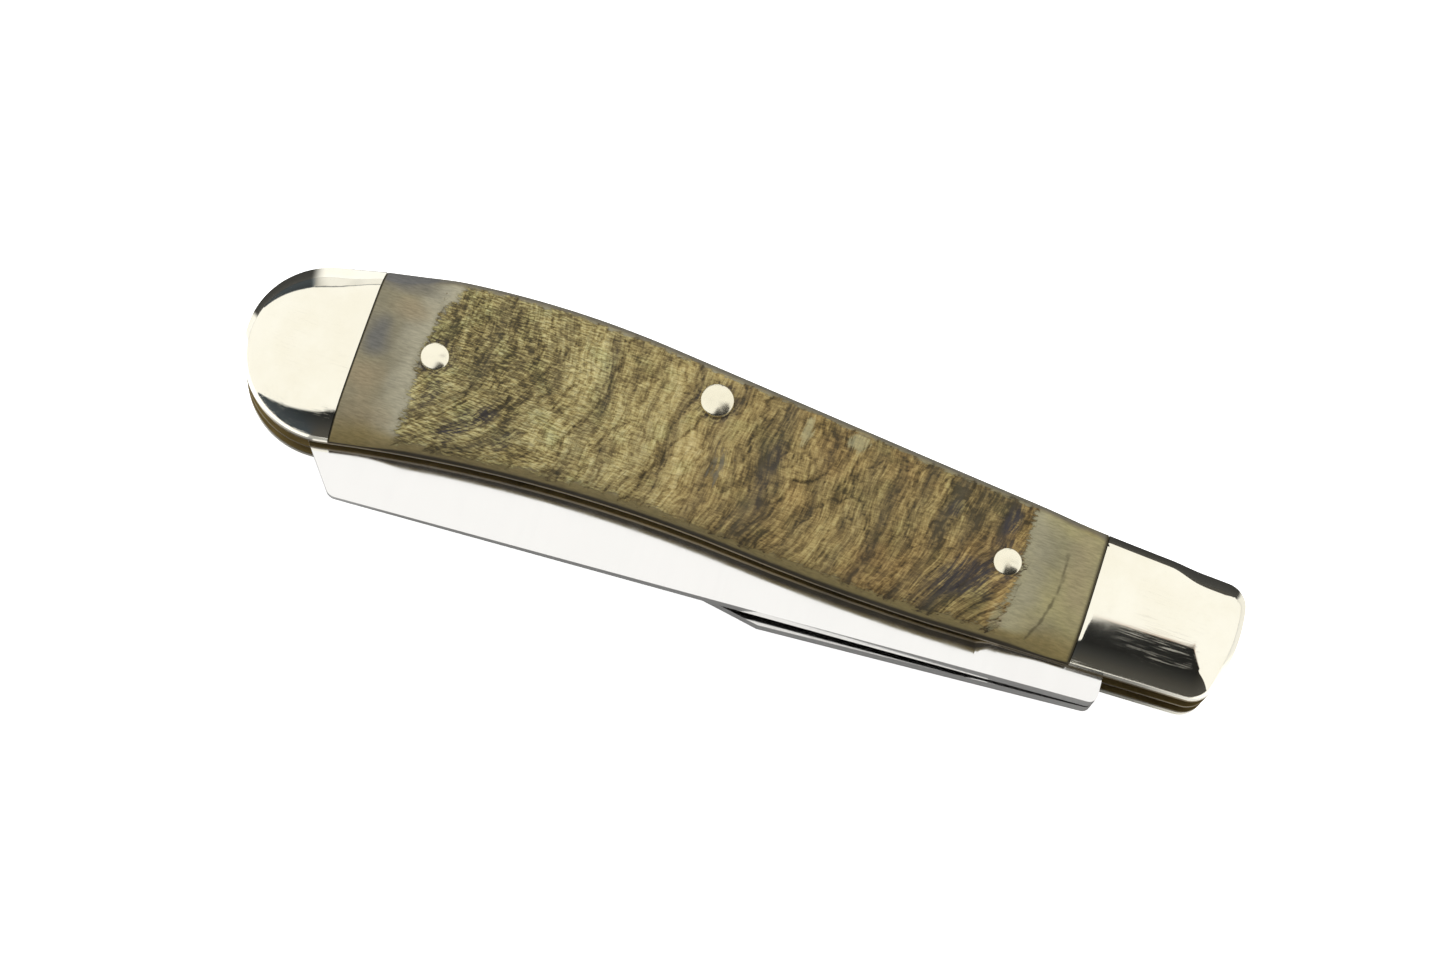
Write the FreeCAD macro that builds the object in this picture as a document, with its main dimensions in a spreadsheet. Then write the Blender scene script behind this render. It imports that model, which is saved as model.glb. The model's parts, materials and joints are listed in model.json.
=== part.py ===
import FreeCAD, Part
import Sketcher
import math
import os
import re

# Folding pocket knife with two blades side by side, drawn closed and lying on its rear side.
# X runs along the handle from the round end to the pivot end, Y from the blades to the back
# springs, Z through the thickness from the rear side to the front side.

sizes = {
    # Handle outline
    "handle_length": 104.8,
    "round_end_radius": 9.05,
    "round_end_y": -0.55,
    "hump_crest_setback": 31.9,
    "hump_crest_y": 11.25,
    "back_hollow_length": 28.4,
    "back_hollow_radius": 531.0,
    "back_end_y": 6.05,
    "end_bulge_radius": 18.0,
    "end_bulge_y": 1.0,
    "belly_end_y": -6.55,
    "belly_line_angle": 1.75,
    "belly_swell_radius": 243.0,
    "belly_crest_setback": 42.4,
    "belly_crest_y": -6.3,
    # Layers through the thickness
    "scale_rise": 0.5,
    "bolster_thickness": 3.75,
    "liner_thickness": 0.6,
    "spring_thickness": 2.4,
    "centre_liner_thickness": 0.5,
    # Bolsters and scales
    "round_bolster_length": 11.45,
    "square_bolster_length": 15.6,
    "seam_gap": 0.08,
    "rim_round": 2.4,
    "corner_margin": 0.1,
    "ramp_length": 9.0,
    # Pins
    "pivot_setback": 7.54,
    "pivot_pin_diameter": 3.2,
    "centre_pin_run": 49.89,
    "centre_pin_drop": 4.67,
    "centre_pin_diameter": 2.4,
    "centre_head_diameter": 3.5,
    "centre_head_rise": 0.35,
    "end_pin_setback": 7.8,
    "end_pin_y": 1.2,
    "end_pin_diameter": 2.4,
    "left_pin_run": 7.64,
    "left_pin_y": 1.67,
    "right_pin_run": 9.11,
    "right_pin_y": 0.23,
    "scale_pin_diameter": 1.8,
    "scale_head_diameter": 3.0,
    "scale_head_rise": 0.2,
    "head_depth": 0.9,
    "rear_head_inset": 0.06,
    "pin_clearance": 0.02,
    "pivot_clearance": 0.04,
    # Springs
    "seat_gap": 0.05,
    "seat_margin": 0.8,
    "arm_run": 27.36,
    "arm_drop": 1.65,
    "boss_length": 10.0,
    "boss_wall": 1.4,
    "waist_run": 16.97,
    "waist_drop": 5.35,
    "tail_run": 8.6,
    "tail_rise": 5.15,
    "tail_wall": 1.4,
    # Blades
    "fold_angle": 3.2,
    "blade_thickness": 2.3,
    "tip_setback": 6.8,
    "spine_level": 7.75,
    "step_reach": 4.55,
    "tang_reach": 3.9,
    "tang_round": 1.5,
    "step_round": 0.9,
    "kick_reach": 14.2,
    "kick_run": 2.0,
    "edge_level": 2.9,
    "edge_thickness": 0.3,
    "hone_width": 0.7,
    "hone_flat": 0.06,
    "tip_thickness": 0.9,
    "plunge_length": 1.6,
    "spey_tip_level": 0.4,
    "spey_belly": 15.0,
    "spey_end_angle": 54.5,
    "spey_corner_round": 1.2,
    "clip_tip_level": 0.3,
    "clip_belly": 24.0,
    "clip_length": 51.0,
    "clip_hollow_radius": 480.0,
    "spine_swell": 0.7,
    "nick_reach": 31.0,
    "nick_length": 10.0,
    "nick_level": 6.3,
    "nick_radius": 8.6,
    "nick_depth": 0.6,
}

doc = FreeCAD.newDocument("FoldingKnife")
sheet = doc.addObject("Spreadsheet::Sheet", "Sizes")
for row, (alias, number) in enumerate(sizes.items(), 1):
    sheet.set(f"A{row}", alias)
    sheet.set(f"B{row}", str(number))
    sheet.setAlias(f"B{row}", alias)
doc.recompute()

# Places and levels that several pieces share, written as formulas of the sizes
round_seam_x = "(-handle_length / 2 + round_bolster_length)"
square_seam_x = "(handle_length / 2 - square_bolster_length)"
round_end_x = "(-handle_length / 2 + round_end_radius)"
hump_x = "(-handle_length / 2 + hump_crest_setback)"
hump_rise = "(hump_crest_y - round_end_y)"
hump_radius = (f"(((hump_crest_setback - round_end_radius) ^ 2 + {hump_rise} ^ 2 - round_end_radius ^ 2)"
               f" / (2 * ({hump_rise} - round_end_radius)))")
hollow_x = "(handle_length / 2 - back_hollow_length)"
bulge_x = "(handle_length / 2 - end_bulge_radius)"
belly_x = "(-handle_length / 2 + belly_crest_setback)"
belly_drop = "(round_end_y - belly_crest_y)"
belly_radius = (f"(((belly_crest_setback - round_end_radius) ^ 2 + {belly_drop} ^ 2 - round_end_radius ^ 2)"
                f" / (2 * (round_end_radius - {belly_drop})))")
corner_radius = "(rim_round + corner_margin)"
pivot_x = "(handle_length / 2 - pivot_setback)"
pivot_y = "(back_end_y - spine_level)"
centre_pin_x = f"({pivot_x} - centre_pin_run)"
centre_pin_y = "(hump_crest_y - centre_pin_drop)"
end_pin_x = "(-handle_length / 2 + end_pin_setback)"
scale_pin_x = {"left": f"({round_seam_x} + left_pin_run)", "right": f"({square_seam_x} - right_pin_run)"}
blade_reach = "(handle_length - pivot_setback - tip_setback)"
ricasso_reach = "(kick_reach + kick_run)"
rear_land_z = "scale_rise"
rear_liner_z = "(scale_rise + bolster_thickness)"
clip_z = f"({rear_liner_z} + liner_thickness)"
centre_z = f"({clip_z} + spring_thickness)"
spey_z = f"({centre_z} + centre_liner_thickness)"
front_liner_z = f"({spey_z} + spring_thickness)"
front_z = f"({front_liner_z} + liner_thickness)"
front_land_z = f"({front_z} + bolster_thickness)"
top_z = f"({front_land_z} + scale_rise)"


def tied(text):
    return re.sub(r"[a-z_]+", lambda word: "Sizes." + word[0] if word[0] in sizes else word[0], text)


def value_of(text):
    return float(sheet.evalExpression(tied(text)))


def folded(x, y):
    # A point given in the closed blade's own frame, seen from the handle
    return (f"{pivot_x} + ({x}) * cos(fold_angle) - ({y}) * sin(fold_angle)",
            f"{pivot_y} + ({x}) * sin(fold_angle) + ({y}) * cos(fold_angle)")


def new_body(label):
    body = doc.addObject("PartDesign::Body", label.title().replace("_", ""))
    body.Label = label
    return body


def new_sketch(body, name, role, base=("0", "0", "0"), turn_axis=None, turn="0"):
    sketch = body.newObject("Sketcher::SketchObject", name)
    plane = [item for item in body.Origin.OriginFeatures if item.Role == role][0]
    sketch.AttachmentSupport = [(plane, "")]
    sketch.MapMode = "FlatFace"
    if turn_axis:
        sketch.AttachmentOffset = FreeCAD.Placement(FreeCAD.Vector(), FreeCAD.Rotation(turn_axis, 1.0))
        sketch.setExpression("AttachmentOffset.Rotation.Angle", tied(turn))
    for axis, text in zip("xyz", base):
        if text != "0":
            sketch.setExpression(f"AttachmentOffset.Base.{axis}", tied(text))
    return sketch


def bind(sketch, constraint, text):
    index = sketch.addConstraint(constraint)
    name = f"size_{index}"
    sketch.renameConstraint(index, name)
    sketch.setExpression(f"Constraints.{name}", tied(text))


def fix_point(sketch, curve, end, x, y):
    if x == "0":
        sketch.addConstraint(Sketcher.Constraint("PointOnObject", curve, end, -2))
    elif x:
        bind(sketch, Sketcher.Constraint("DistanceX", -1, 1, curve, end, value_of(x)), x)
    if y == "0":
        sketch.addConstraint(Sketcher.Constraint("PointOnObject", curve, end, -1))
    elif y:
        bind(sketch, Sketcher.Constraint("DistanceY", -1, 1, curve, end, value_of(y)), y)


def fix_radius(sketch, curve, text):
    bind(sketch, Sketcher.Constraint("Radius", curve, value_of(text)), text)


def arc_between(centre, radius, first, last):
    circle = Part.Circle(centre, FreeCAD.Vector(0, 0, 1), radius)
    return Part.ArcOfCircle(circle, circle.parameter(first), circle.parameter(last))


def closed_path(sketch, points, bends=None):
    # Bends give the radius of the run that leaves a point; a left bend turns to the left
    bends = bends or {}
    spots = [FreeCAD.Vector(value_of(x), value_of(y), 0) for x, y in points]
    runs = []
    for place, start in enumerate(spots):
        stop = spots[(place + 1) % len(spots)]
        if place in bends:
            side, radius = bends[place]
            length = value_of(radius)
            chord = stop - start
            left = FreeCAD.Vector(-chord.y, chord.x, 0).normalize()
            away = math.sqrt(length ** 2 - (chord.Length / 2) ** 2)
            turn = 1 if side == "left" else -1
            centre = (start + stop) * 0.5 + left * (turn * away)
            ends = (start, stop) if turn > 0 else (stop, start)
            curve = sketch.addGeometry(arc_between(centre, length, *ends), False)
            runs.append((curve, 1, 2) if turn > 0 else (curve, 2, 1))
        else:
            curve = sketch.addGeometry(Part.LineSegment(start, stop), False)
            runs.append((curve, 1, 2))
    for place, run in enumerate(runs):
        after = runs[(place + 1) % len(runs)]
        sketch.addConstraint(Sketcher.Constraint("Coincident", run[0], run[2], after[0], after[1]))
    for run, (x, y) in zip(runs, points):
        fix_point(sketch, run[0], run[1], x, y)
    for place, (side, radius) in bends.items():
        fix_radius(sketch, runs[place][0], radius)


def circle_at(sketch, x, y, diameter):
    spot = FreeCAD.Vector(value_of(x), value_of(y), 0)
    size = value_of(diameter)
    curve = sketch.addGeometry(Part.Circle(spot, FreeCAD.Vector(0, 0, 1), size / 2), False)
    fix_point(sketch, curve, 3, x, y)
    bind(sketch, Sketcher.Constraint("Diameter", curve, size), diameter)


def meet_of_circles(centre_a, radius_a, centre_b, radius_b):
    # The crossing point that lies to the right of the line from a to b
    line = centre_b - centre_a
    along = (radius_a ** 2 - radius_b ** 2 + line.Length ** 2) / (2 * line.Length)
    aside = math.sqrt(radius_a ** 2 - along ** 2)
    unit = FreeCAD.Vector(line).normalize()
    return centre_a + unit * along + FreeCAD.Vector(unit.y, -unit.x, 0) * aside


def point_on(centre, toward, radius):
    return centre + FreeCAD.Vector(toward - centre).normalize() * radius


def handle_outline(sketch):
    # Ten tangent runs: round end, hump, back line, back hollow, back corner, bulged end,
    # belly corner, belly line, belly swell and belly hollow
    spot = FreeCAD.Vector
    radii = {"cap": "round_end_radius", "hump": hump_radius, "hollow": "back_hollow_radius",
             "corner": corner_radius, "bulge": "end_bulge_radius", "foot": corner_radius,
             "swell": "belly_swell_radius", "belly": belly_radius}
    radius = {name: value_of(text) for name, text in radii.items()}
    cap = spot(value_of(round_end_x), value_of("round_end_y"), 0)
    hump = spot(value_of(hump_x), value_of(f"hump_crest_y - {hump_radius}"), 0)
    bulge = spot(value_of(bulge_x), value_of("end_bulge_y"), 0)
    belly = spot(value_of(belly_x), value_of(f"belly_crest_y - {belly_radius}"), 0)
    cap_top = cap + (cap - hump).normalize() * radius["cap"]
    cap_foot = point_on(cap, belly, radius["cap"])
    # The slope of the back line is halved in until the hollow ends at its level
    steep, gentle = -0.5, 0.2
    for step in range(60):
        slope = (steep + gentle) / 2
        upright = spot(-math.sin(slope), math.cos(slope), 0)
        line_start = hump + upright * radius["hump"]
        run = (value_of(hollow_x) - line_start.x) / math.cos(slope)
        line_end = line_start + spot(math.cos(slope), math.sin(slope), 0) * run
        hollow = line_end + upright * radius["hollow"]
        corner = meet_of_circles(bulge, radius["bulge"] - radius["corner"],
                                 hollow, radius["hollow"] + radius["corner"])
        hollow_end = point_on(corner, hollow, radius["corner"])
        if hollow_end.y > value_of("back_end_y"):
            gentle = slope
        else:
            steep = slope
    bulge_top = point_on(bulge, corner, radius["bulge"])
    lean = math.radians(value_of("belly_line_angle"))
    along = spot(math.cos(lean), math.sin(lean), 0)
    inward = spot(-along.y, along.x, 0)
    foot_y = value_of("belly_end_y") + radius["foot"] * inward.y
    reach = math.sqrt((radius["bulge"] - radius["foot"]) ** 2 - (foot_y - bulge.y) ** 2)
    foot = spot(bulge.x + reach, foot_y, 0)
    bulge_foot = point_on(bulge, foot, radius["bulge"])
    belly_end = foot - inward * radius["foot"]
    swell = belly_end + inward * radius["swell"]
    side = (swell - belly).dot(along)
    apart = radius["belly"] + radius["swell"]
    swell -= along * (side - math.sqrt(side ** 2 - (swell - belly).Length ** 2 + apart ** 2))
    belly_start = swell - inward * radius["swell"]
    belly_join = point_on(belly, swell, radius["belly"])
    curves = [
        arc_between(cap, radius["cap"], cap_top, cap_foot),
        arc_between(hump, radius["hump"], line_start, cap_top),
        Part.LineSegment(line_start, line_end),
        arc_between(hollow, radius["hollow"], line_end, hollow_end),
        arc_between(corner, radius["corner"], bulge_top, hollow_end),
        arc_between(bulge, radius["bulge"], bulge_foot, bulge_top),
        arc_between(foot, radius["foot"], belly_end, bulge_foot),
        Part.LineSegment(belly_start, belly_end),
        arc_between(swell, radius["swell"], belly_join, belly_start),
        arc_between(belly, radius["belly"], belly_join, cap_foot),
    ]
    for curve in curves:
        sketch.addGeometry(curve, False)
    joins = [(0, 1, 1, 2), (1, 1, 2, 1), (2, 2, 3, 1), (3, 2, 4, 2), (4, 1, 5, 2),
             (5, 1, 6, 2), (6, 1, 7, 2), (7, 1, 8, 2), (8, 1, 9, 1), (9, 2, 0, 2)]
    for join in joins:
        sketch.addConstraint(Sketcher.Constraint("Tangent", *join))
    places = {"cap": 0, "hump": 1, "hollow": 3, "corner": 4, "bulge": 5, "foot": 6, "swell": 8, "belly": 9}
    for name, curve in places.items():
        fix_radius(sketch, curve, radii[name])
    fix_point(sketch, 0, 3, round_end_x, "round_end_y")
    fix_point(sketch, 1, 3, hump_x, None)
    fix_point(sketch, 3, 1, hollow_x, None)
    fix_point(sketch, 3, 2, None, "back_end_y")
    fix_point(sketch, 5, 3, bulge_x, "end_bulge_y")
    bind(sketch, Sketcher.Constraint("Angle", 7, lean), "belly_line_angle * 1 deg")
    fix_point(sketch, 7, 2, None, "belly_end_y")
    fix_point(sketch, 9, 3, belly_x, None)


def pad(body, sketch, thickness, both_sides=False):
    feature = body.newObject("PartDesign::Pad", sketch.Name + "Pad")
    feature.Profile = sketch
    feature.setExpression("Length", tied(thickness))
    if both_sides:
        feature.SideType = "Symmetric"
    sketch.Visibility = False
    doc.recompute()
    return feature


def pocket(body, sketch, way="both"):
    base = body.Tip
    feature = body.newObject("PartDesign::Pocket", sketch.Name + "Pocket")
    feature.Profile = sketch
    feature.Type = "ThroughAll"
    if way == "both":
        feature.SideType = "Symmetric"
    feature.Reversed = way == "up"
    sketch.Visibility = False
    doc.recompute()
    if not feature.Shape.Volume < base.Shape.Volume - 1e-4:
        raise RuntimeError(f"{feature.Name} cut nothing")
    return feature


def handle_plate(label, z, thickness):
    body = new_body(label)
    sketch = new_sketch(body, body.Name + "Outline", "XY_Plane", ("0", "0", z))
    handle_outline(sketch)
    pad(body, sketch, thickness)
    return body


def trim_ends(body, left=None, right=None):
    # Cuts away what lies beyond the given seams
    far = "handle_length"
    if left:
        sketch = new_sketch(body, body.Name + "LeftTrim", "XY_Plane")
        closed_path(sketch, [(f"-{far}", f"-{far}"), (left, f"-{far}"), (left, far), (f"-{far}", far)])
        pocket(body, sketch)
    if right:
        sketch = new_sketch(body, body.Name + "RightTrim", "XY_Plane")
        closed_path(sketch, [(right, f"-{far}"), (far, f"-{far}"), (far, far), (right, far)])
        pocket(body, sketch)


def round_rim(body, level, seams, radius):
    # Rounds the rim of the outer face, but not along the seams
    base = body.Tip
    names = []
    for number, edge in enumerate(base.Shape.Edges, 1):
        middle = edge.valueAt((edge.FirstParameter + edge.LastParameter) / 2)
        on_seam = any(abs(middle.x - value_of(seam)) < 1e-3 for seam in seams)
        if abs(middle.z - value_of(level)) < 1e-3 and not on_seam:
            names.append(f"Edge{number}")
    feature = body.newObject("PartDesign::Fillet", body.Name + "Rim")
    feature.Base = (base, names)
    feature.setExpression("Radius", tied(radius))
    doc.recompute()


def ramp_cut(body, name, x, outward, land_z, way):
    # Slopes the raised middle down to the level of the bolster beside it
    sketch = new_sketch(body, body.Name + name, "XZ_Plane")
    toward = "-" if outward == "+" else "+"
    back = "-" if way == "+" else "+"
    low = f"{land_z} {back} scale_rise"
    high = f"{land_z} {way} 2 * scale_rise"
    closed_path(sketch, [(f"{x} {outward} ramp_length", low), (f"{x} {toward} 2 * ramp_length", high),
                         (f"{x} {outward} ramp_length", high)])
    pocket(body, sketch)


def bore(body, name, x, y, diameter, clearance):
    sketch = new_sketch(body, body.Name + name, "XY_Plane")
    circle_at(sketch, x, y, f"{diameter} + 2 * {clearance}")
    pocket(body, sketch)


def sink(body, name, x, y, diameter, z, way):
    # A flat-bottomed seat for a pin head
    sketch = new_sketch(body, body.Name + name, "XY_Plane", ("0", "0", z))
    circle_at(sketch, x, y, f"{diameter} + 2 * pin_clearance")
    pocket(body, sketch, way)


# Liners
plates = [("rear_liner", rear_liner_z, "liner_thickness"),
          ("centre_liner", centre_z, "centre_liner_thickness"),
          ("front_liner", front_liner_z, "liner_thickness")]
for label, z, thickness in plates:
    liner = handle_plate(label, z, thickness)
    bore(liner, "PivotBore", pivot_x, pivot_y, "pivot_pin_diameter", "pin_clearance")
    bore(liner, "CentreBore", centre_pin_x, centre_pin_y, "centre_pin_diameter", "pin_clearance")
    bore(liner, "EndBore", end_pin_x, "end_pin_y", "end_pin_diameter", "pin_clearance")
    if label != "centre_liner":
        for side in ("left", "right"):
            bore(liner, side.title() + "Bore", scale_pin_x[side], f"{side}_pin_y", "scale_pin_diameter", "pin_clearance")

# Back springs
nose_reach = "(step_reach - seat_gap)"
seat_level = "(tang_reach + seat_gap)"
boss_y = f"({centre_pin_y} - centre_pin_diameter / 2 - boss_wall)"
tail_foot_x = f"({end_pin_x} + end_pin_diameter / 2 + tail_wall)"
tail_foot_y = "(end_pin_y - end_pin_diameter / 2 - tail_wall)"
for label, z in (("clip_spring", clip_z), ("spey_spring", spey_z)):
    spring = handle_plate(label, z, "spring_thickness")
    sketch = new_sketch(spring, spring.Name + "Underside", "XY_Plane")
    underside = [
        folded(nose_reach, "handle_length / 2"),
        folded(nose_reach, seat_level),
        folded("-kick_reach - seat_margin", seat_level),
        (f"{pivot_x} - arm_run", "back_end_y - arm_drop"),
        (f"{centre_pin_x} + boss_length / 2", boss_y),
        (f"{centre_pin_x} - boss_length / 2", boss_y),
        (f"{centre_pin_x} - waist_run", "hump_crest_y - waist_drop"),
        (f"{end_pin_x} + tail_run", "round_end_y + tail_rise"),
        (tail_foot_x, tail_foot_y),
        ("-handle_length", tail_foot_y),
        ("-handle_length", "-handle_length"),
        ("handle_length", "-handle_length"),
        ("handle_length", "handle_length / 2"),
    ]
    closed_path(sketch, list(reversed(underside)))
    pocket(spring, sketch)
    bore(spring, "CentreBore", centre_pin_x, centre_pin_y, "centre_pin_diameter", "pin_clearance")
    bore(spring, "EndBore", end_pin_x, "end_pin_y", "end_pin_diameter", "pin_clearance")

# Bolsters and scales
for face in ("rear", "front"):
    way = "+" if face == "front" else "-"
    base_z = front_z if face == "front" else rear_land_z
    land_z = front_land_z if face == "front" else rear_land_z
    seam = f"({round_seam_x} - seam_gap / 2)"
    bolster = handle_plate(f"{face}_round_bolster", base_z, "bolster_thickness")
    trim_ends(bolster, right=seam)
    round_rim(bolster, land_z, [seam], "rim_round")
    bore(bolster, "EndBore", end_pin_x, "end_pin_y", "end_pin_diameter", "pin_clearance")
    seam = f"({square_seam_x} + seam_gap / 2)"
    bolster = handle_plate(f"{face}_square_bolster", base_z, "bolster_thickness")
    trim_ends(bolster, left=seam)
    round_rim(bolster, land_z, [seam], "rim_round")
    bore(bolster, "PivotBore", pivot_x, pivot_y, "pivot_pin_diameter", "pin_clearance")
    base_z = front_z if face == "front" else "0"
    outer_z = top_z if face == "front" else "0"
    left = f"({round_seam_x} + seam_gap / 2)"
    right = f"({square_seam_x} - seam_gap / 2)"
    scale = handle_plate(f"{face}_scale", base_z, "(bolster_thickness + scale_rise)")
    trim_ends(scale, left, right)
    round_rim(scale, outer_z, [left, right], "(rim_round + scale_rise)")
    ramp_cut(scale, "LeftRamp", left, "-", land_z, way)
    ramp_cut(scale, "RightRamp", right, "+", land_z, way)
    seat = f"{top_z} - head_depth" if face == "front" else "head_depth"
    toward = "up" if face == "front" else "down"
    bore(scale, "CentreBore", centre_pin_x, centre_pin_y, "centre_pin_diameter", "pin_clearance")
    sink(scale, "CentreSeat", centre_pin_x, centre_pin_y, "centre_head_diameter", seat, toward)
    for side in ("left", "right"):
        spot = (scale_pin_x[side], f"{side}_pin_y")
        bore(scale, side.title() + "Bore", *spot, "scale_pin_diameter", "pin_clearance")
        sink(scale, side.title() + "Seat", *spot, "scale_head_diameter", seat, toward)


# Blades
def hone(body):
    # Cuts the narrow honed bevel on both sides of the cutting edge
    base = body.Tip
    names = []
    for number, edge in enumerate(base.Shape.Edges, 1):
        middle = edge.valueAt((edge.FirstParameter + edge.LastParameter) / 2)
        if 1e-3 < abs(middle.z) < value_of("edge_thickness") and middle.y > value_of("clip_tip_level") - 0.1:
            names.append(f"Edge{number}")
    feature = body.newObject("PartDesign::Chamfer", body.Name + "Hone")
    feature.Base = (base, names)
    feature.ChamferType = "Two distances"
    feature.setExpression("Size", tied("hone_width"))
    feature.setExpression("Size2", tied("edge_thickness / 2 - hone_flat"))
    doc.recompute()


def blade(label, z, outline, bends):
    # The tang and flanks start as a flat plate that is then ground from the plunge to the tip
    body = new_body(label)
    body.setExpression("Placement.Base.x", tied(pivot_x))
    body.setExpression("Placement.Base.y", tied(pivot_y))
    body.setExpression("Placement.Base.z", tied(f"{z} + spring_thickness / 2"))
    body.setExpression("Placement.Rotation.Angle", tied("fold_angle"))
    sketch = new_sketch(body, body.Name + "Outline", "XY_Plane")
    tang = [
        ("-step_reach - step_round", "-spine_level"),
        ("-step_reach", "step_round - spine_level"),
        ("-step_reach", "-tang_reach"),
        ("tang_reach - tang_round", "-tang_reach"),
        ("tang_reach", "tang_round - tang_reach"),
        ("tang_reach", "tang_reach - tang_round"),
        ("tang_reach - tang_round", "tang_reach"),
        ("-kick_reach", "tang_reach"),
        (f"-{ricasso_reach}", "edge_level"),
    ]
    rounds = {0: ("left", "step_round"), 3: ("left", "tang_round"), 5: ("left", "tang_round")}
    rounds.update({place + len(tang): bend for place, bend in bends.items()})
    closed_path(sketch, tang + outline, rounds)
    pad(body, sketch, "blade_thickness", True)
    half = "blade_thickness / 2"
    height = "(spine_level + edge_level)"
    over = "blade_thickness"
    stations = [
        (f"-{ricasso_reach}", f"{half} * 1.01", f"{half} * 1.01"),
        (f"-{ricasso_reach} - plunge_length", f"{half} * 0.98", "edge_thickness / 2"),
        (f"-{blade_reach} - {over}", "tip_thickness / 2", "edge_thickness / 2"),
    ]
    sections = []
    for number, (x, spine_z, edge_z) in enumerate(stations):
        section = new_sketch(body, f"{body.Name}Grind{number}", "YZ_Plane", ("0", "0", x))
        lean = f"({spine_z} - {edge_z}) / {height} * {over}"
        closed_path(section, [
            (f"-spine_level - {over}", f"{spine_z} + {lean}"),
            (f"edge_level + {over}", f"{edge_z} - {lean}"),
            (f"edge_level + {over}", "blade_thickness"),
            (f"-spine_level - {over}", "blade_thickness"),
        ])
        section.Visibility = False
        sections.append(section)
    doc.recompute()
    flank = body.newObject("PartDesign::SubtractiveLoft", body.Name + "Flank")
    flank.Profile = sections[0]
    flank.Sections = sections[1:]
    flank.Ruled = True
    doc.recompute()
    both = body.newObject("PartDesign::Mirrored", body.Name + "BothFlanks")
    both.Originals = [flank]
    both.MirrorPlane = ([item for item in body.Origin.OriginFeatures if item.Role == "XY_Plane"][0], [""])
    body.Tip = both
    doc.recompute()
    hone(body)
    bore(body, "PivotBore", "0", "0", "pivot_pin_diameter", "pivot_clearance")
    return body


def sweep_radius(run, drop):
    # Radius of an arc that leaves a straight edge smoothly and falls by the drop over the run
    return f"({run} ^ 2 + ({drop}) ^ 2) / (2 * ({drop}))"


spey_corner_x = f"-{blade_reach} + (spey_tip_level + spine_level) / tan(spey_end_angle)"
spey_trim = "spey_corner_round * tan(spey_end_angle / 2)"
blade("spey_blade", spey_z, [
    (f"-{blade_reach} + spey_belly", "edge_level"),
    (f"-{blade_reach}", "spey_tip_level"),
    (f"{spey_corner_x} - {spey_trim} * cos(spey_end_angle)", f"-spine_level + {spey_trim} * sin(spey_end_angle)"),
    (f"{spey_corner_x} + {spey_trim}", "-spine_level"),
], {0: ("left", sweep_radius("spey_belly", "edge_level - spey_tip_level")), 2: ("left", "spey_corner_round")})
clip = blade("clip_blade", clip_z, [
    (f"-{blade_reach} + clip_belly", "edge_level"),
    (f"-{blade_reach}", "clip_tip_level"),
    (f"-{blade_reach} + clip_length", "-spine_level - spine_swell"),
], {0: ("left", sweep_radius("clip_belly", "edge_level - clip_tip_level")), 1: ("right", "clip_hollow_radius")})
nick = new_sketch(clip, "NailNick", "XY_Plane", ("0", "0", "nick_depth - blade_thickness / 2"))
closed_path(nick, [("-nick_reach + nick_length / 2", "-nick_level"), ("-nick_reach - nick_length / 2", "-nick_level")],
            {0: ("left", "nick_radius")})
pocket(clip, nick, "down")


# Pins, each turned about its own axis
def pin(label, x, y, profile, bends=None):
    body = new_body(label)
    body.setExpression("Placement.Base.x", tied(x))
    body.setExpression("Placement.Base.y", tied(y))
    sketch = new_sketch(body, body.Name + "Profile", "XZ_Plane")
    closed_path(sketch, profile, bends)
    feature = body.newObject("PartDesign::Revolution", body.Name + "Turned")
    feature.Profile = sketch
    feature.ReferenceAxis = (sketch, ["V_Axis"])
    feature.Angle = 360
    sketch.Visibility = False
    doc.recompute()


def dome_radius(diameter, rise):
    return f"(({diameter} / 2) ^ 2 + ({rise}) ^ 2) / (2 * ({rise}))"


pivot_r = "pivot_pin_diameter / 2"
pin("pivot_pin", pivot_x, pivot_y,
    [("0", rear_land_z), (pivot_r, rear_land_z), (pivot_r, front_land_z), ("0", front_land_z)])
end_r = "end_pin_diameter / 2"
pin("end_pin", end_pin_x, "end_pin_y",
    [("0", rear_land_z), (end_r, rear_land_z), (end_r, front_land_z), ("0", front_land_z)])
shaft = "centre_pin_diameter / 2"
head = "centre_head_diameter / 2"
front_seat = f"({top_z} - head_depth)"
front_rim = f"({top_z} - head_depth / 2)"
rear_dome = "(head_depth / 2 - rear_head_inset)"
front_dome = "(head_depth / 2 + centre_head_rise)"
pin("centre_pin", centre_pin_x, centre_pin_y, [
    ("0", "rear_head_inset"), (head, "head_depth / 2"), (head, "head_depth"), (shaft, "head_depth"),
    (shaft, front_seat), (head, front_seat), (head, front_rim), ("0", f"{top_z} + centre_head_rise"),
], {0: ("left", dome_radius("centre_head_diameter", rear_dome)),
    6: ("left", dome_radius("centre_head_diameter", front_dome))})
shaft = "scale_pin_diameter / 2"
head = "scale_head_diameter / 2"
front_dome = "(head_depth / 2 + scale_head_rise)"
for side in ("left", "right"):
    pin(f"front_{side}_pin", scale_pin_x[side], f"{side}_pin_y", [
        ("0", front_liner_z), (shaft, front_liner_z), (shaft, front_seat), (head, front_seat),
        (head, front_rim), ("0", f"{top_z} + scale_head_rise"),
    ], {4: ("left", dome_radius("scale_head_diameter", front_dome))})
    pin(f"rear_{side}_pin", scale_pin_x[side], f"{side}_pin_y", [
        ("0", "rear_head_inset"), (head, "head_depth / 2"), (head, "head_depth"), (shaft, "head_depth"),
        (shaft, clip_z), ("0", clip_z),
    ], {0: ("left", dome_radius("scale_head_diameter", rear_dome))})

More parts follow.
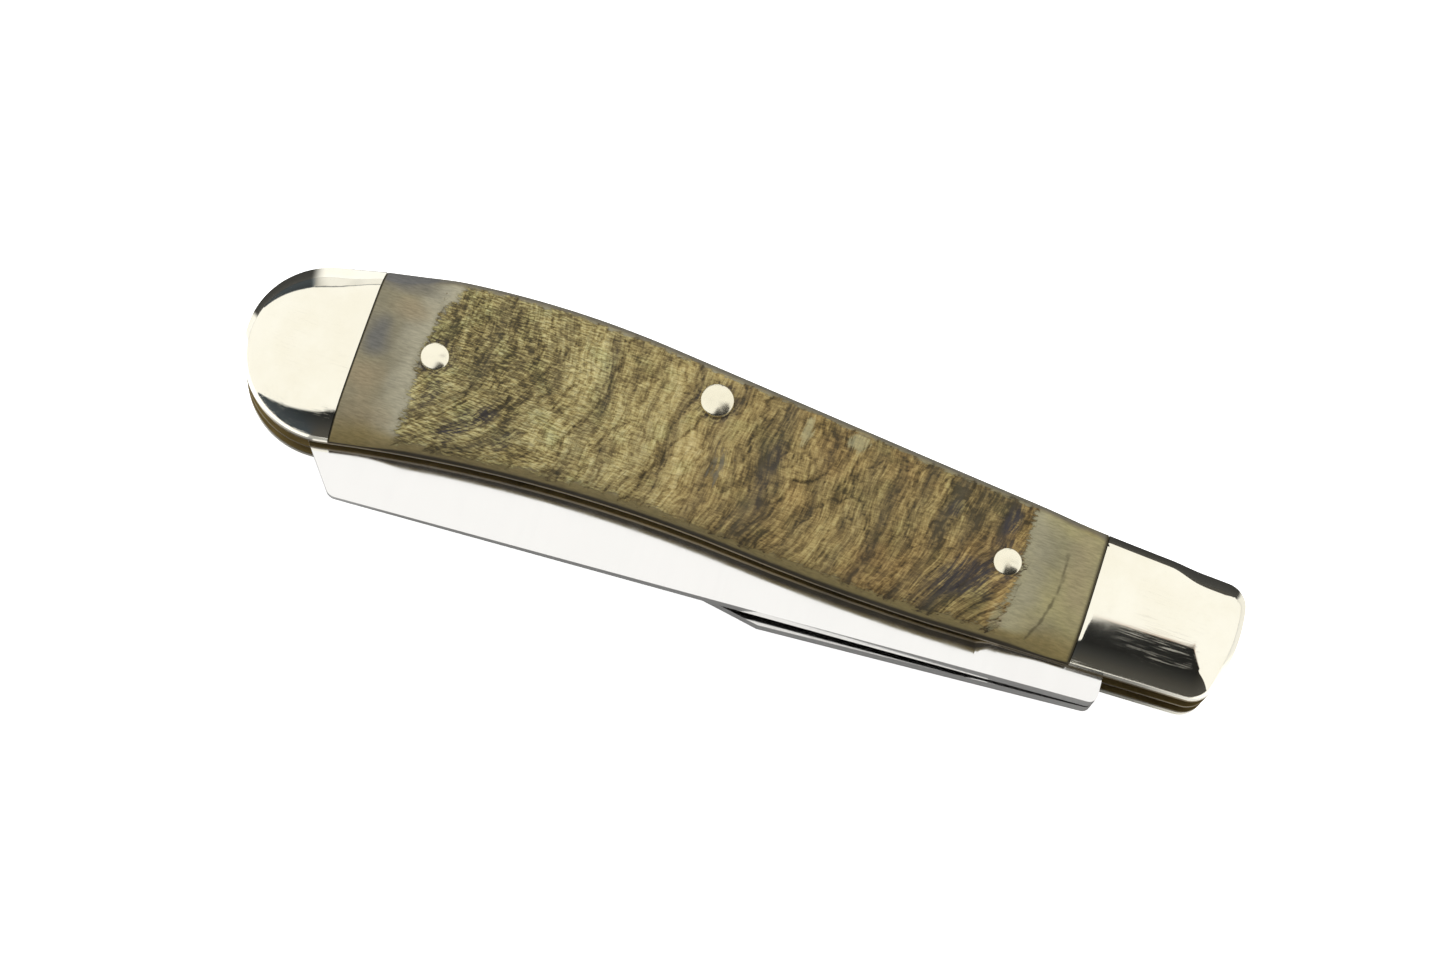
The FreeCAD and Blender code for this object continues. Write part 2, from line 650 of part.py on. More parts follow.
doc.recompute()
for item in doc.Objects:
    if "Invalid" in item.State or "Error" in item.State:
        raise RuntimeError(f"{item.Name} did not compute")
bodies = [item for item in doc.Objects if item.TypeId == "PartDesign::Body"]
for body in bodies:
    if body.Shape.isNull() or not body.Shape.isValid() or len(body.Shape.Solids) != 1:
        raise RuntimeError(f"{body.Label} is not one sound solid")
os.makedirs("parts", exist_ok=True)
for body in bodies:
    body.Shape.exportStep(f"parts/{body.Label}.step")
    box = body.Shape.BoundBox
    print(body.Label, round(body.Shape.Volume, 2), [round(number, 2) for number in
          (box.XMin, box.XMax, box.YMin, box.YMax, box.ZMin, box.ZMax)])
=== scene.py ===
import json
import math
import bpy
import bmesh
from bisect import bisect_left
from mathutils import Matrix, Vector, noise

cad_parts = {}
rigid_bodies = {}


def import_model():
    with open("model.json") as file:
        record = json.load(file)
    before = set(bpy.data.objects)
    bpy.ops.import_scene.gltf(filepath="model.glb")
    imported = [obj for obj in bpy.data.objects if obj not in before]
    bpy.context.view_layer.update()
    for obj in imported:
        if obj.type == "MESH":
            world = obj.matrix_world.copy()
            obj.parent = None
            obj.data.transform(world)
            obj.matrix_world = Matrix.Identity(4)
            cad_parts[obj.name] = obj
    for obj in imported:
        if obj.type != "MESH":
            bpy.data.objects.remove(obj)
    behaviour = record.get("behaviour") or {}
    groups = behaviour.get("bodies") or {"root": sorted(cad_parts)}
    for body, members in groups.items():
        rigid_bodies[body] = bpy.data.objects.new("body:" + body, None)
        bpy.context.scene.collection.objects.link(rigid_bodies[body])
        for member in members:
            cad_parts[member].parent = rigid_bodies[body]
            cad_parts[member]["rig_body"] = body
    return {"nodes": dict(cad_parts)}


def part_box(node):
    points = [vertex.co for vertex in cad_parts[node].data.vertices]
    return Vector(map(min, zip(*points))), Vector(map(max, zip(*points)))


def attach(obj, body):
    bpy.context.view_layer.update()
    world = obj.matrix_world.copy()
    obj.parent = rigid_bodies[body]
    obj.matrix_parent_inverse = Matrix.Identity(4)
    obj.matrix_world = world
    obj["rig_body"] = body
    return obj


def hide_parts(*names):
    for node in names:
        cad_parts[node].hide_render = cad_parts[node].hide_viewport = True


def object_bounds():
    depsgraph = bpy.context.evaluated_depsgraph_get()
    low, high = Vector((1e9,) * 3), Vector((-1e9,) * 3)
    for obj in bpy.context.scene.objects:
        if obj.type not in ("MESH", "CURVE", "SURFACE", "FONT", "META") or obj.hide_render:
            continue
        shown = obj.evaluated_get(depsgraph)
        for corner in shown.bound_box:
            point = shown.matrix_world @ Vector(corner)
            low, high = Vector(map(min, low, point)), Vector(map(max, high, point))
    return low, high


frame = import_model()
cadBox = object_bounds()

mm = 0.001
cadNodes = frame["nodes"]
scene = bpy.context.scene


# Small helpers for building node trees

def fill(tree, node, inputs):
    for key, value in inputs.items():
        if isinstance(value, bpy.types.NodeSocket):
            tree.links.new(value, node.inputs[key])
        else:
            node.inputs[key].default_value = value


def put(tree, kind, inputs=None, **settings):
    node = tree.nodes.new(kind)
    for key, value in settings.items():
        setattr(node, key, value)
    fill(tree, node, inputs or {})
    return node


def maths(tree, operation, first, second):
    return put(tree, "ShaderNodeMath", {0: first, 1: second}, operation=operation).outputs[0]


def plus(tree, first, second):
    return maths(tree, "ADD", first, second)


def times(tree, first, second):
    return maths(tree, "MULTIPLY", first, second)


def remap(tree, value, low, high, toLow=0.0, toHigh=1.0, smooth=False):
    kind = "SMOOTHSTEP" if smooth else "LINEAR"
    node = put(tree, "ShaderNodeMapRange", {"Value": value, "From Min": low, "From Max": high,
                                            "To Min": toLow, "To Max": toHigh}, interpolation_type=kind)
    return node.outputs["Result"]


def blendColour(tree, factor, first, second, mode="MIX"):
    node = put(tree, "ShaderNodeMix", {0: factor, 6: first, 7: second}, data_type="RGBA", blend_type=mode)
    return node.outputs[2]


def blendValue(tree, factor, first, second):
    return put(tree, "ShaderNodeMix", {0: factor, 2: first, 3: second}, data_type="FLOAT").outputs[0]


def noiseAt(tree, vector, scale, detail=2.0, roughness=0.5):
    node = put(tree, "ShaderNodeTexNoise", {"Vector": vector, "Scale": scale, "Detail": detail,
                                            "Roughness": roughness})
    return node.outputs[0]


def stretched(tree, vector, scale, turn=0.0):
    node = put(tree, "ShaderNodeMapping", {"Vector": vector, "Scale": scale, "Rotation": (0.0, 0.0, turn)})
    return node.outputs[0]


def newGroup(name, inputs, outputs):
    group = bpy.data.node_groups.new(name, "ShaderNodeTree")
    for label, kind, default in inputs:
        socket = group.interface.new_socket(label, in_out="INPUT", socket_type=kind)
        if default is not None:
            socket.default_value = default
    for label, kind in outputs:
        group.interface.new_socket(label, in_out="OUTPUT", socket_type=kind)
    entry = group.nodes.new("NodeGroupInput")
    outlet = group.nodes.new("NodeGroupOutput")
    return group, entry.outputs, outlet.inputs


def useGroup(tree, group, inputs):
    node = put(tree, "ShaderNodeGroup", node_tree=group)
    fill(tree, node, inputs)
    return node.outputs


def newMaterial(name, **sockets):
    material = bpy.data.materials.new(name)
    material.use_nodes = True
    tree = material.node_tree
    tree.nodes.clear()
    shader = put(tree, "ShaderNodeBsdfPrincipled", sockets)
    surface = put(tree, "ShaderNodeOutputMaterial")
    tree.links.new(shader.outputs[0], surface.inputs["Surface"])
    place = put(tree, "ShaderNodeTexCoord").outputs["Object"]
    return material, tree, shader, place


# Shared effects: fine scratches, handling smudges and stretched grain

def makeScratchGroup():
    inputs = [("Vector", "NodeSocketVector", None), ("Scale", "NodeSocketFloat", 1.0),
              ("Amount", "NodeSocketFloat", 0.5)]
    outputs = [("Scratch", "NodeSocketFloat"), ("Haze", "NodeSocketFloat")]
    group, entry, outlet = newGroup("polishScratches", inputs, outputs)
    lines = None
    for turn, stretch in ((0.06, 40.0), (-0.10, 46.0), (0.9, 34.0)):
        spread = put(group, "ShaderNodeVectorMath", {0: entry["Vector"], "Scale": entry["Scale"]},
                     operation="SCALE")
        along = stretched(group, spread.outputs[0], (220.0, 220.0 * stretch, 220.0 * stretch), turn)
        field = noiseAt(group, along, 1.0, 1.0)
        thin = remap(group, field, 0.62, 0.72)
        lines = thin if lines is None else maths(group, "MAXIMUM", lines, thin)
    patches = noiseAt(group, entry["Vector"], 260.0, 2.0)
    broken = times(group, lines, remap(group, patches, 0.42, 0.62))
    group.links.new(times(group, broken, entry["Amount"]), outlet["Scratch"])
    group.links.new(noiseAt(group, entry["Vector"], 420.0, 4.0, 0.6), outlet["Haze"])
    return group


def makeSmudgeGroup():
    inputs = [("Vector", "NodeSocketVector", None), ("Scale", "NodeSocketFloat", 90.0)]
    outputs = [("Smudge", "NodeSocketFloat"), ("Specks", "NodeSocketFloat")]
    group, entry, outlet = newGroup("handlingSmudge", inputs, outputs)
    clouds = noiseAt(group, entry["Vector"], entry["Scale"], 5.0, 0.62)
    group.links.new(remap(group, clouds, 0.35, 0.7, smooth=True), outlet["Smudge"])
    dots = put(group, "ShaderNodeTexVoronoi", {"Vector": entry["Vector"], "Scale": 900.0})
    group.links.new(remap(group, dots.outputs["Distance"], 0.10, 0.04), outlet["Specks"])
    return group


def makeGrainGroup():
    inputs = [("Vector", "NodeSocketVector", None), ("Stretch", "NodeSocketVector", (1.0, 1.0, 1.0)),
              ("Scale", "NodeSocketFloat", 100.0)]
    outputs = [("Grain", "NodeSocketFloat"), ("Coarse", "NodeSocketFloat")]
    group, entry, outlet = newGroup("stretchedGrain", inputs, outputs)
    pulled = put(group, "ShaderNodeVectorMath", {0: entry["Vector"], 1: entry["Stretch"]},
                 operation="MULTIPLY").outputs[0]
    group.links.new(noiseAt(group, pulled, entry["Scale"], 4.0, 0.65), outlet["Grain"])
    broadScale = times(group, entry["Scale"], 0.22)
    group.links.new(noiseAt(group, pulled, broadScale, 3.0), outlet["Coarse"])
    return group


scratchGroup = makeScratchGroup()
smudgeGroup = makeSmudgeGroup()
grainGroup = makeGrainGroup()
print("shared effects ready")


# Metals

def polishedMetal(name, bright, dull, roughLow, roughHigh, scratches, hammered=0.0):
    material, tree, shader, place = newMaterial(name, Metallic=1.0)
    scratch = useGroup(tree, scratchGroup, {"Vector": place, "Amount": scratches})
    smudge = useGroup(tree, smudgeGroup, {"Vector": place, "Scale": 130.0})
    tree.links.new(blendColour(tree, smudge["Smudge"], bright, dull), shader.inputs["Base Color"])
    rough = remap(tree, scratch["Haze"], 0.3, 0.75, roughLow, roughHigh)
    rough = plus(tree, rough, times(tree, scratch["Scratch"], 0.22))
    tree.links.new(rough, shader.inputs["Roughness"])
    height = times(tree, scratch["Scratch"], -0.4)
    if hammered:
        dents = noiseAt(tree, place, 700.0, 1.0)
        height = plus(tree, height, times(tree, dents, hammered))
    bump = put(tree, "ShaderNodeBump", {"Height": height, "Strength": 0.10, "Distance": 0.01 * mm})
    tree.links.new(bump.outputs[0], shader.inputs["Normal"])
    return material


def groundMetal(name, bright, dull, stretch, scale, roughLow, roughHigh, lineDepth, tarnish, lines=0.35):
    material, tree, shader, place = newMaterial(name, Metallic=1.0)
    grain = useGroup(tree, grainGroup, {"Vector": place, "Stretch": stretch, "Scale": scale})
    smudge = useGroup(tree, smudgeGroup, {"Vector": place, "Scale": 70.0})
    dirt = times(tree, smudge["Smudge"], tarnish)
    dirt = plus(tree, dirt, times(tree, remap(tree, grain["Grain"], 0.45, 0.8), lines))
    tree.links.new(blendColour(tree, dirt, bright, dull), shader.inputs["Base Color"])
    tree.links.new(remap(tree, grain["Coarse"], 0.3, 0.7, roughLow, roughHigh), shader.inputs["Roughness"])
    bump = put(tree, "ShaderNodeBump", {"Height": grain["Grain"], "Strength": lineDepth,
                                        "Distance": 0.01 * mm})
    tree.links.new(bump.outputs[0], shader.inputs["Normal"])
    return material


nickelSilver = polishedMetal("nickelSilver", (0.94, 0.915, 0.80, 1), (0.90, 0.865, 0.73, 1),
                             roughLow=0.035, roughHigh=0.075, scratches=0.9)
pinMetal = polishedMetal("pinMetal", (0.93, 0.89, 0.73, 1), (0.84, 0.79, 0.62, 1),
                         roughLow=0.17, roughHigh=0.28, scratches=0.4, hammered=6.0)
bladeSteel = groundMetal("bladeSteel", (0.90, 0.895, 0.885, 1), (0.76, 0.76, 0.755, 1),
                         stretch=(1.0, 0.05, 1.0), scale=2200.0, roughLow=0.09, roughHigh=0.14,
                         lineDepth=0.008, tarnish=0.10, lines=0.10)
springSteel = groundMetal("springSteel", (0.66, 0.66, 0.65, 1), (0.40, 0.39, 0.37, 1),
                          stretch=(0.05, 1.0, 1.0), scale=1300.0, roughLow=0.24, roughHigh=0.36,
                          lineDepth=0.25, tarnish=0.3)
linerBrass = groundMetal("linerBrass", (0.21, 0.155, 0.060, 1), (0.06, 0.043, 0.018, 1),
                         stretch=(0.07, 1.0, 1.0), scale=1200.0, roughLow=0.38, roughHigh=0.55,
                         lineDepth=0.25, tarnish=0.7)
print("metals ready")


# Horn: weathered bark in the middle, ground and polished at the ends and along the edges

# values that the scales carry at each point
hornMarks = ("bark", "band", "stainAndPinShade", "reliefShade", "flow", "crack", "pale", "tone", "turned", "cloudsAndEdgeShade")


def grey(tree, value):
    return put(tree, "ShaderNodeCombineColor", {0: value, 1: value, 2: value}).outputs[0]


def attribute(tree, name):
    return put(tree, "ShaderNodeAttribute", attribute_name=name).outputs["Fac"]


def rampOf(tree, factor, stops):
    node = put(tree, "ShaderNodeValToRGB", {"Fac": factor})
    cells = node.color_ramp.elements
    while len(cells) < len(stops):
        cells.new(0.5)
    for cell, (spot, colour) in zip(cells, stops):
        cell.position = spot
        cell.color = colour
    return node.outputs["Color"]


def barkColour(tree, marks, place, axes, flow, wrinkle, fibre):
    # weathered bark, and the short dark dashes in it
    broad = noiseAt(tree, place, 120.0, 3.0)
    patch = noiseAt(tree, place, 330.0, 3.0)
    leftward = remap(tree, axes["X"], -0.004, -0.026, 0.30, 1.0)
    # the ramp's place carries the bark's tone together with the painted shade of its relief
    depth = times(tree, marks["reliefShade"], 0.62)
    depth = plus(tree, depth, remap(tree, broad, 0.35, 0.65, -0.06, 0.10))
    depth = plus(tree, depth, marks["tone"])
    depth = plus(tree, depth, remap(tree, wrinkle["Grain"], 0.36, 0.64, -0.16, 0.20))
    threads = times(tree, remap(tree, fibre["Grain"], 0.40, 0.60, -0.26, 0.22), leftward)
    depth = plus(tree, depth, threads)
    depth = maths(tree, "SUBTRACT", depth, times(tree, marks["band"], 0.26))
    colour = rampOf(tree, depth, [(0.02, (0.052, 0.039, 0.018, 1)), (0.20, (0.130, 0.092, 0.036, 1)),
                                  (0.38, (0.245, 0.178, 0.070, 1)), (0.58, (0.385, 0.300, 0.124, 1)),
                                  (0.85, (0.530, 0.440, 0.218, 1))])
    colour = blendColour(tree, times(tree, marks["band"], 0.42), colour, (0.105, 0.090, 0.062, 1))
    # dashes with and across the growth lines
    dashes = useGroup(tree, grainGroup, {"Vector": flow, "Stretch": (0.24, 1.6, 0.5), "Scale": 4.2})
    dark = times(tree, remap(tree, dashes["Grain"], 0.51, 0.58), leftward)
    chips = useGroup(tree, grainGroup, {"Vector": flow, "Stretch": (1.9, 0.20, 0.5), "Scale": 3.4})
    dark = maths(tree, "MAXIMUM", dark, remap(tree, chips["Grain"], 0.58, 0.66, 0.0, 0.7))
    colour = blendColour(tree, times(tree, dark, 0.60), colour, (0.065, 0.048, 0.026, 1))
    # warmer to the right, cooler in patches and to the left
    warm = times(tree, remap(tree, axes["X"], -0.012, 0.008), remap(tree, broad, 0.40, 0.58))
    colour = blendColour(tree, times(tree, warm, 0.50), colour, (1.0, 0.80, 0.68, 1), "MULTIPLY")
    cool = remap(tree, patch, 0.52, 0.68, 0.0, 0.5)
    colour = blendColour(tree, cool, colour, (0.86, 0.98, 0.95, 1), "MULTIPLY")
    colour = blendColour(tree, leftward, colour, (0.95, 1.03, 1.06, 1), "MULTIPLY")
    # inky patches, the painted shade round the pins, and bare spots, grey along the back edge partly from
    # painted shade
    ink = times(tree, marks["stainAndPinShade"], remap(tree, depth, 0.60, 0.30, 0.25, 1.0))
    ink = times(tree, ink, remap(tree, wrinkle["Grain"], 0.40, 0.60, 1.0, 0.45))
    colour = blendColour(tree, ink, colour, (0.042, 0.038, 0.040, 1))
    bare = plus(tree, marks["cloudsAndEdgeShade"], remap(tree, wrinkle["Grain"], 0.3, 0.7, -0.5, 0.5))
    colour = blendColour(tree, remap(tree, bare, 0.45, 0.85, 0.0, 0.6), colour, (0.34, 0.32, 0.185, 1))
    colour = blendColour(tree, remap(tree, bare, -0.50, -0.80, 0.0, 0.6), colour, (0.150, 0.140, 0.105, 1))
    return colour, dark


def groundColour(tree, marks, place, axes, fibre):
    # ground and polished horn, darker where it turns down to the edges; painted shade makes the foot of the
    # wall near black and the back edge grey
    turned, cloudsAndEdgeShade = marks["turned"], marks["cloudsAndEdgeShade"]
    rightward = remap(tree, axes["X"], -0.03, 0.03)
    ground = blendColour(tree, rightward, (0.185, 0.165, 0.105, 1), (0.262, 0.235, 0.118, 1))
    cloud = noiseAt(tree, place, 150.0, 3.0)
    ground = blendColour(tree, remap(tree, cloud, 0.48, 0.66, 0.0, 0.4), ground, (0.125, 0.120, 0.092, 1))
    ground = blendColour(tree, remap(tree, cloud, 0.46, 0.30, 0.0, 0.6), ground, (0.240, 0.200, 0.115, 1))
    ground = blendColour(tree, times(tree, marks["pale"], 0.65), ground, (0.34, 0.32, 0.235, 1))
    ground = blendColour(tree, remap(tree, cloudsAndEdgeShade, 0.0, 1.0), ground, (0.230, 0.187, 0.113, 1))
    ground = blendColour(tree, remap(tree, turned, 0.0, 1.0, 0.0, 0.75), ground, (0.240, 0.182, 0.066, 1))
    # painted shade: near black down the lower wall, above the liner
    ground = blendColour(tree, remap(tree, turned, 1.1, 1.5, 0.0, 0.95), ground, (0.022, 0.016, 0.008, 1))
    # grey clouds in the horn, and painted shade along the back edge
    ground = blendColour(tree, remap(tree, cloudsAndEdgeShade, 0.0, -1.0), ground, (0.098, 0.097, 0.092, 1))
    fibrous = grey(tree, remap(tree, fibre["Grain"], 0.34, 0.66, 0.80, 1.14))
    ground = blendColour(tree, 1.0, ground, fibrous, "MULTIPLY")
    return blendColour(tree, marks["crack"], ground, (0.050, 0.042, 0.022, 1))


def makeHorn():
    material, tree, shader, place = newMaterial("ramHorn", **{"Specular IOR Level": 0.20})
    marks = {name: attribute(tree, name) for name in hornMarks}
    axes = put(tree, "ShaderNodeSeparateXYZ", {0: place}).outputs
    tall = times(tree, axes["Y"], 1000.0)
    deep = times(tree, axes["Z"], 1000.0)
    flow = put(tree, "ShaderNodeCombineXYZ", {0: marks["flow"], 1: tall, 2: deep}).outputs[0]
    wrinkle = useGroup(tree, grainGroup, {"Vector": flow, "Stretch": (1.0, 0.15, 0.3), "Scale": 3.0})
    fibre = useGroup(tree, grainGroup, {"Vector": place, "Stretch": (0.2, 1.0, 0.4), "Scale": 5200.0})
    colour, dark = barkColour(tree, marks, place, axes, flow, wrinkle, fibre)
    ground = groundColour(tree, marks, place, axes, fibre)
    # the edge of the bark is ragged, and cracks cut through it
    ragged = plus(tree, remap(tree, fibre["Grain"], 0.3, 0.7, -0.42, 0.42), marks["bark"])
    bark = times(tree, remap(tree, ragged, 0.35, 0.65), remap(tree, marks["bark"], 0.02, 0.12))
    bark = times(tree, bark, remap(tree, marks["crack"], 1.0, 0.0))
    tree.links.new(blendColour(tree, bark, ground, colour), shader.inputs["Base Color"])
    rough = remap(tree, fibre["Coarse"], 0.3, 0.7, 0.33, 0.46)
    rough = plus(tree, rough, remap(tree, marks["turned"], 0.0, 1.0, 0.0, 0.25))
    rough = plus(tree, rough, remap(tree, marks["turned"], 1.0, 1.3, 0.0, 0.10))
    tree.links.new(blendValue(tree, bark, rough, 0.75), shader.inputs["Roughness"])
    texture = plus(tree, wrinkle["Grain"], fibre["Grain"])
    texture = maths(tree, "SUBTRACT", texture, times(tree, dark, 0.4))
    texture = times(tree, texture, plus(tree, bark, 0.02))
    bump = put(tree, "ShaderNodeBump", {"Height": texture, "Strength": 0.7, "Distance": 0.16 * mm})
    tree.links.new(bump.outputs[0], shader.inputs["Normal"])
    return material


ramHorn = makeHorn()
print("horn ready")


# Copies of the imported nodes, cleaned up and given their finish

def addPiece(bm, name, node, material, sharp):
    mesh = bpy.data.meshes.new(name)
    bm.to_mesh(mesh)
    bm.free()
    mesh.shade_smooth()
    mesh.set_sharp_from_angle(angle=math.radians(sharp))
    mesh.materials.append(material)
    piece = bpy.data.objects.new(name, mesh)
    scene.collection.objects.link(piece)
    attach(piece, cadNodes[node]["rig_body"])
    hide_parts(node)
    return piece


def nodeCopy(node, flatness=0.6):
    bm = bmesh.new()
    bm.from_mesh(cadNodes[node].data)
    bmesh.ops.remove_doubles(bm, verts=bm.verts, dist=0.0005 * mm)
    bmesh.ops.dissolve_limit(bm, angle_limit=math.radians(flatness), verts=bm.verts, edges=bm.edges)
    return bm


def softenEdges(bm, width, sharp=35.0):
    limit = math.radians(sharp)
    edges = [edge for edge in bm.edges if len(edge.link_faces) == 2 and edge.calc_face_angle() > limit]
    bmesh.ops.bevel(bm, geom=edges, offset=width, offset_type="OFFSET", segments=2, profile=0.5,
                    affect="EDGES", clamp_overlap=True, material=-1)


def softenedCopy(node, name, material, width):
    bm = nodeCopy(node)
    softenEdges(bm, width)
    return addPiece(bm, name, node, material, 32.0)


liners = {"edgeSoft": 0.02 * mm}
for node in ("front_liner", "centre_liner", "rear_liner"):
    softenedCopy(node, node + "Brass", linerBrass, liners["edgeSoft"])
springs = {"edgeSoft": 0.08 * mm}
for node in ("spey_spring", "clip_spring"):
    softenedCopy(node, node + "Steel", springSteel, springs["edgeSoft"])
blades = {
    "edgeSoft": 0.05 * mm,
    "along": Vector((0.99844, 0.05582, 0.0)),  # the way a closed blade points
    "strip": 1.5 * mm, "sliver": 0.006 * mm,
    "flatEnough": math.radians(4.5),
}


def bladePiece(node):
    low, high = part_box(node)
    bm = nodeCopy(node, 0.02)
    # cut across the blade and straighten each strip, so that the twisted flanks stay even
    along, sliver = blades["along"], blades["sliver"]
    cuts = []
    for step in range(int((high.x - low.x) / blades["strip"]) + 2):
        spot = Vector((low.x + step * blades["strip"], (low.y + high.y) / 2, 0.0))
        geometry = bm.verts[:] + bm.edges[:] + bm.faces[:]
        bmesh.ops.bisect_plane(bm, geom=geometry, plane_co=spot, plane_no=along, dist=1e-7)
        cuts.append(spot.dot(along))
    bmesh.ops.remove_doubles(bm, verts=bm.verts, dist=sliver)
    spare = []
    for edge in bm.edges:
        if len(edge.link_faces) != 2 or min(abs(face.normal.z) for face in edge.link_faces) < 0.95:
            continue
        ends = [vert.co.dot(along) for vert in edge.verts]
        onCut = abs(ends[0] - ends[1]) < sliver and min(abs(ends[0] - cut) for cut in cuts) < sliver
        if not onCut and edge.calc_face_angle() < blades["flatEnough"]:
            spare.append(edge)
    bmesh.ops.dissolve_edges(bm, edges=spare, use_verts=True)
    softenEdges(bm, blades["edgeSoft"])
    return addPiece(bm, node + "Steel", node, bladeSteel, 4.6)


for node in ("spey_blade", "clip_blade"):
    bladePiece(node)
print("liners, springs and blades ready")


# The outline of the handle, walked round the front liner

def outerLoop(node):
    bm = nodeCopy(node)
    top = max(vert.co.z for vert in bm.verts)
    steps = {}
    for edge in bm.edges:
        tilts = sorted(abs(face.normal.z) for face in edge.link_faces)
        onTop = all(abs(vert.co.z - top) < 1e-7 for vert in edge.verts)
        if onTop and len(tilts) == 2 and tilts[0] < 0.1 and tilts[1] > 0.9:
            for vert, other in (edge.verts, reversed(edge.verts)):
                steps.setdefault(vert, []).append(other)
    walk = [max(steps, key=lambda vert: vert.co.x)]
    walk.append(steps[walk[0]][0])
    while walk[-1] is not walk[0]:
        walk.append([vert for vert in steps[walk[-1]] if vert is not walk[-2]][0])
    loop = [Vector((vert.co.x, vert.co.y)) for vert in walk[:-1]]
    bm.free()
    sides = zip(loop, loop[1:] + loop[:1])
    area = sum(start.x * end.y - end.x * start.y for start, end in sides)
    return loop if area > 0 else loop[::-1]


def finerLoop(loop, longest):
    # more points along a smooth curve through the corners
    finer = []
    for place, start in enumerate(loop):
        before, end, after = loop[place - 1], loop[(place + 1) % len(loop)], loop[(place + 2) % len(loop)]
        run = (end - start).length
        leave = (end - before) * (run / ((start - before).length + run))
        arrive = (after - start) * (run / (run + (after - end).length))
        pieces = max(round(run / longest), 1)
        for piece in range(pieces):
            part = piece / pieces
            bend = leave * (part * (1 - part) ** 2) - arrive * (part ** 2 * (1 - part))
            finer.append(start.lerp(end, part * part * (3 - 2 * part)) + bend)
    return finer


outlineStep = 0.4 * mm
outline = finerLoop(outerLoop("front_liner"), outlineStep)
leftMost = min(range(len(outline)), key=lambda place: outline[place].x)
rightMost = max(range(len(outline)), key=lambda place: outline[place].x)
fromPivot = outline[rightMost:] + outline[:rightMost]  # starts at the pivot end and runs over the back
split = (leftMost - rightMost) % len(outline)
backEdge = sorted((point.x, point.y) for point in fromPivot[:split + 1])
bellyEdge = sorted((point.x, point.y) for point in fromPivot[split:] + fromPivot[:1])


def heightOn(edge, x):
    place = min(max(bisect_left(edge, (x,)), 1), len(edge) - 1)
    (xa, ya), (xb, yb) = edge[place - 1], edge[place]
    return ya + (yb - ya) * (x - xa) / max(xb - xa, 1e-9)


frontLow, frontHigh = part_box("front_round_bolster")
middleZ = (cadBox[0].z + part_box("front_scale")[1].z) / 2
crown = {"land": 0.6 * mm, "radius": 42.0 * mm}
# how the edge is rounded over: place along the handle and radius in mm, steepest angle in degrees
backRim = [(-60.0, 5.8, 50.0), (-47.0, 5.8, 50.0), (-40.9, 3.0, 64.0), (-33.0, 1.4, 84.0), (30.0, 1.4, 84.0),
           (36.8, 2.2, 70.0), (43.5, 2.2, 70.0), (49.0, 5.8, 50.0), (60.0, 5.8, 50.0)]
bellyRim = [(-60.0, 5.8, 50.0), (-41.0, 5.8, 50.0), (-33.0, 1.4, 84.0), (30.0, 1.4, 84.0), (36.8, 5.8, 50.0),
            (60.0, 5.8, 50.0)]
bolsterRim = {
    "rows": 12, "rowWidth": 0.195 * mm,
    "seamRoll": 0.02 * mm, "seamReach": 0.45 * mm, "seamSteps": 4,
    "cell": 0.32 * mm,
    "blend": 2 * mm,  # how far from the middle the belly's rounding gives way to the back's
    "nearby": 6.0 * mm,  # how far along the handle the outline is searched
}


def smoothStep(low, high, value):
    part = min(max((value - low) / (high - low), 0.0), 1.0)
    return part * part * (3 - 2 * part)


def rimAt(places, x):
    for (xa, radiusA, steepA), (xb, radiusB, steepB) in zip(places, places[1:]):
        if x <= xb * mm:
            part = smoothStep(xa * mm, xb * mm, x)
            break
    return (radiusA + part * (radiusB - radiusA)) * mm, math.radians(steepA + part * (steepB - steepA))


def crownDrop(x, y):
    middle = (heightOn(bellyEdge, x) + heightOn(backEdge, x)) / 2
    away = max(0.0, abs(y - middle) - crown["land"] / 2)
    return away * away / (2 * crown["radius"])


def rimDrop(places, x, gap):
    radius, steep = rimAt(places, x)
    over = max(radius * math.sin(steep) - gap, 0.0)
    return radius - math.sqrt(radius ** 2 - over * over)


def edgeGap(x, y, sides):
    # shortest way from a point to the sides of the handle's outline
    best = 1.0
    for start, end in sides:
        run = end - start
        part = min(max(((x - start.x) * run.x + (y - start.y) * run.y) / run.length_squared, 0.0), 1.0)
        best = min(best, math.hypot(x - start.x - part * run.x, y - start.y - part * run.y))
    return best


def mirrorToRear(bm):
    bmesh.ops.scale(bm, vec=(1, 1, -1), verts=bm.verts, space=Matrix.Translation((0, 0, -middleZ)))
    bmesh.ops.reverse_faces(bm, faces=bm.faces)


# Bolsters: the handle's outline drawn up, rounded over, crowned and cut at the seam

def cutAcross(bm, faces, point, normal):
    # dictionaries instead of sets, because they keep the same order in each run
    verts = dict.fromkeys(vert for face in faces for vert in face.verts)
    edges = dict.fromkeys(edge for face in faces for edge in face.edges)
    geometry = list(verts) + list(edges) + list(faces)
    bmesh.ops.bisect_plane(bm, geom=geometry, plane_co=point, plane_no=normal, dist=1e-7)


def roundOver(bm, sides, seamX, keepLeft):
    for vert in bm.verts:
        if vert.co.z > frontHigh.z - 1e-6:
            gap = edgeGap(vert.co.x, vert.co.y, sides)
            middle = (heightOn(bellyEdge, vert.co.x) + heightOn(backEdge, vert.co.x)) / 2
            share = smoothStep(middle - bolsterRim["blend"], middle + bolsterRim["blend"], vert.co.y)
            drop = (1 - share) * rimDrop(bellyRim, vert.co.x, gap)
            drop += share * rimDrop(backRim, vert.co.x, gap)
            vert.co.z -= crownDrop(vert.co.x, vert.co.y) + drop
            nearSeam = max(1 - abs(vert.co.x - seamX) / bolsterRim["seamReach"], 0.0)
            vert.co.z -= 0.0 if keepLeft else bolsterRim["seamRoll"] * nearSeam ** 2


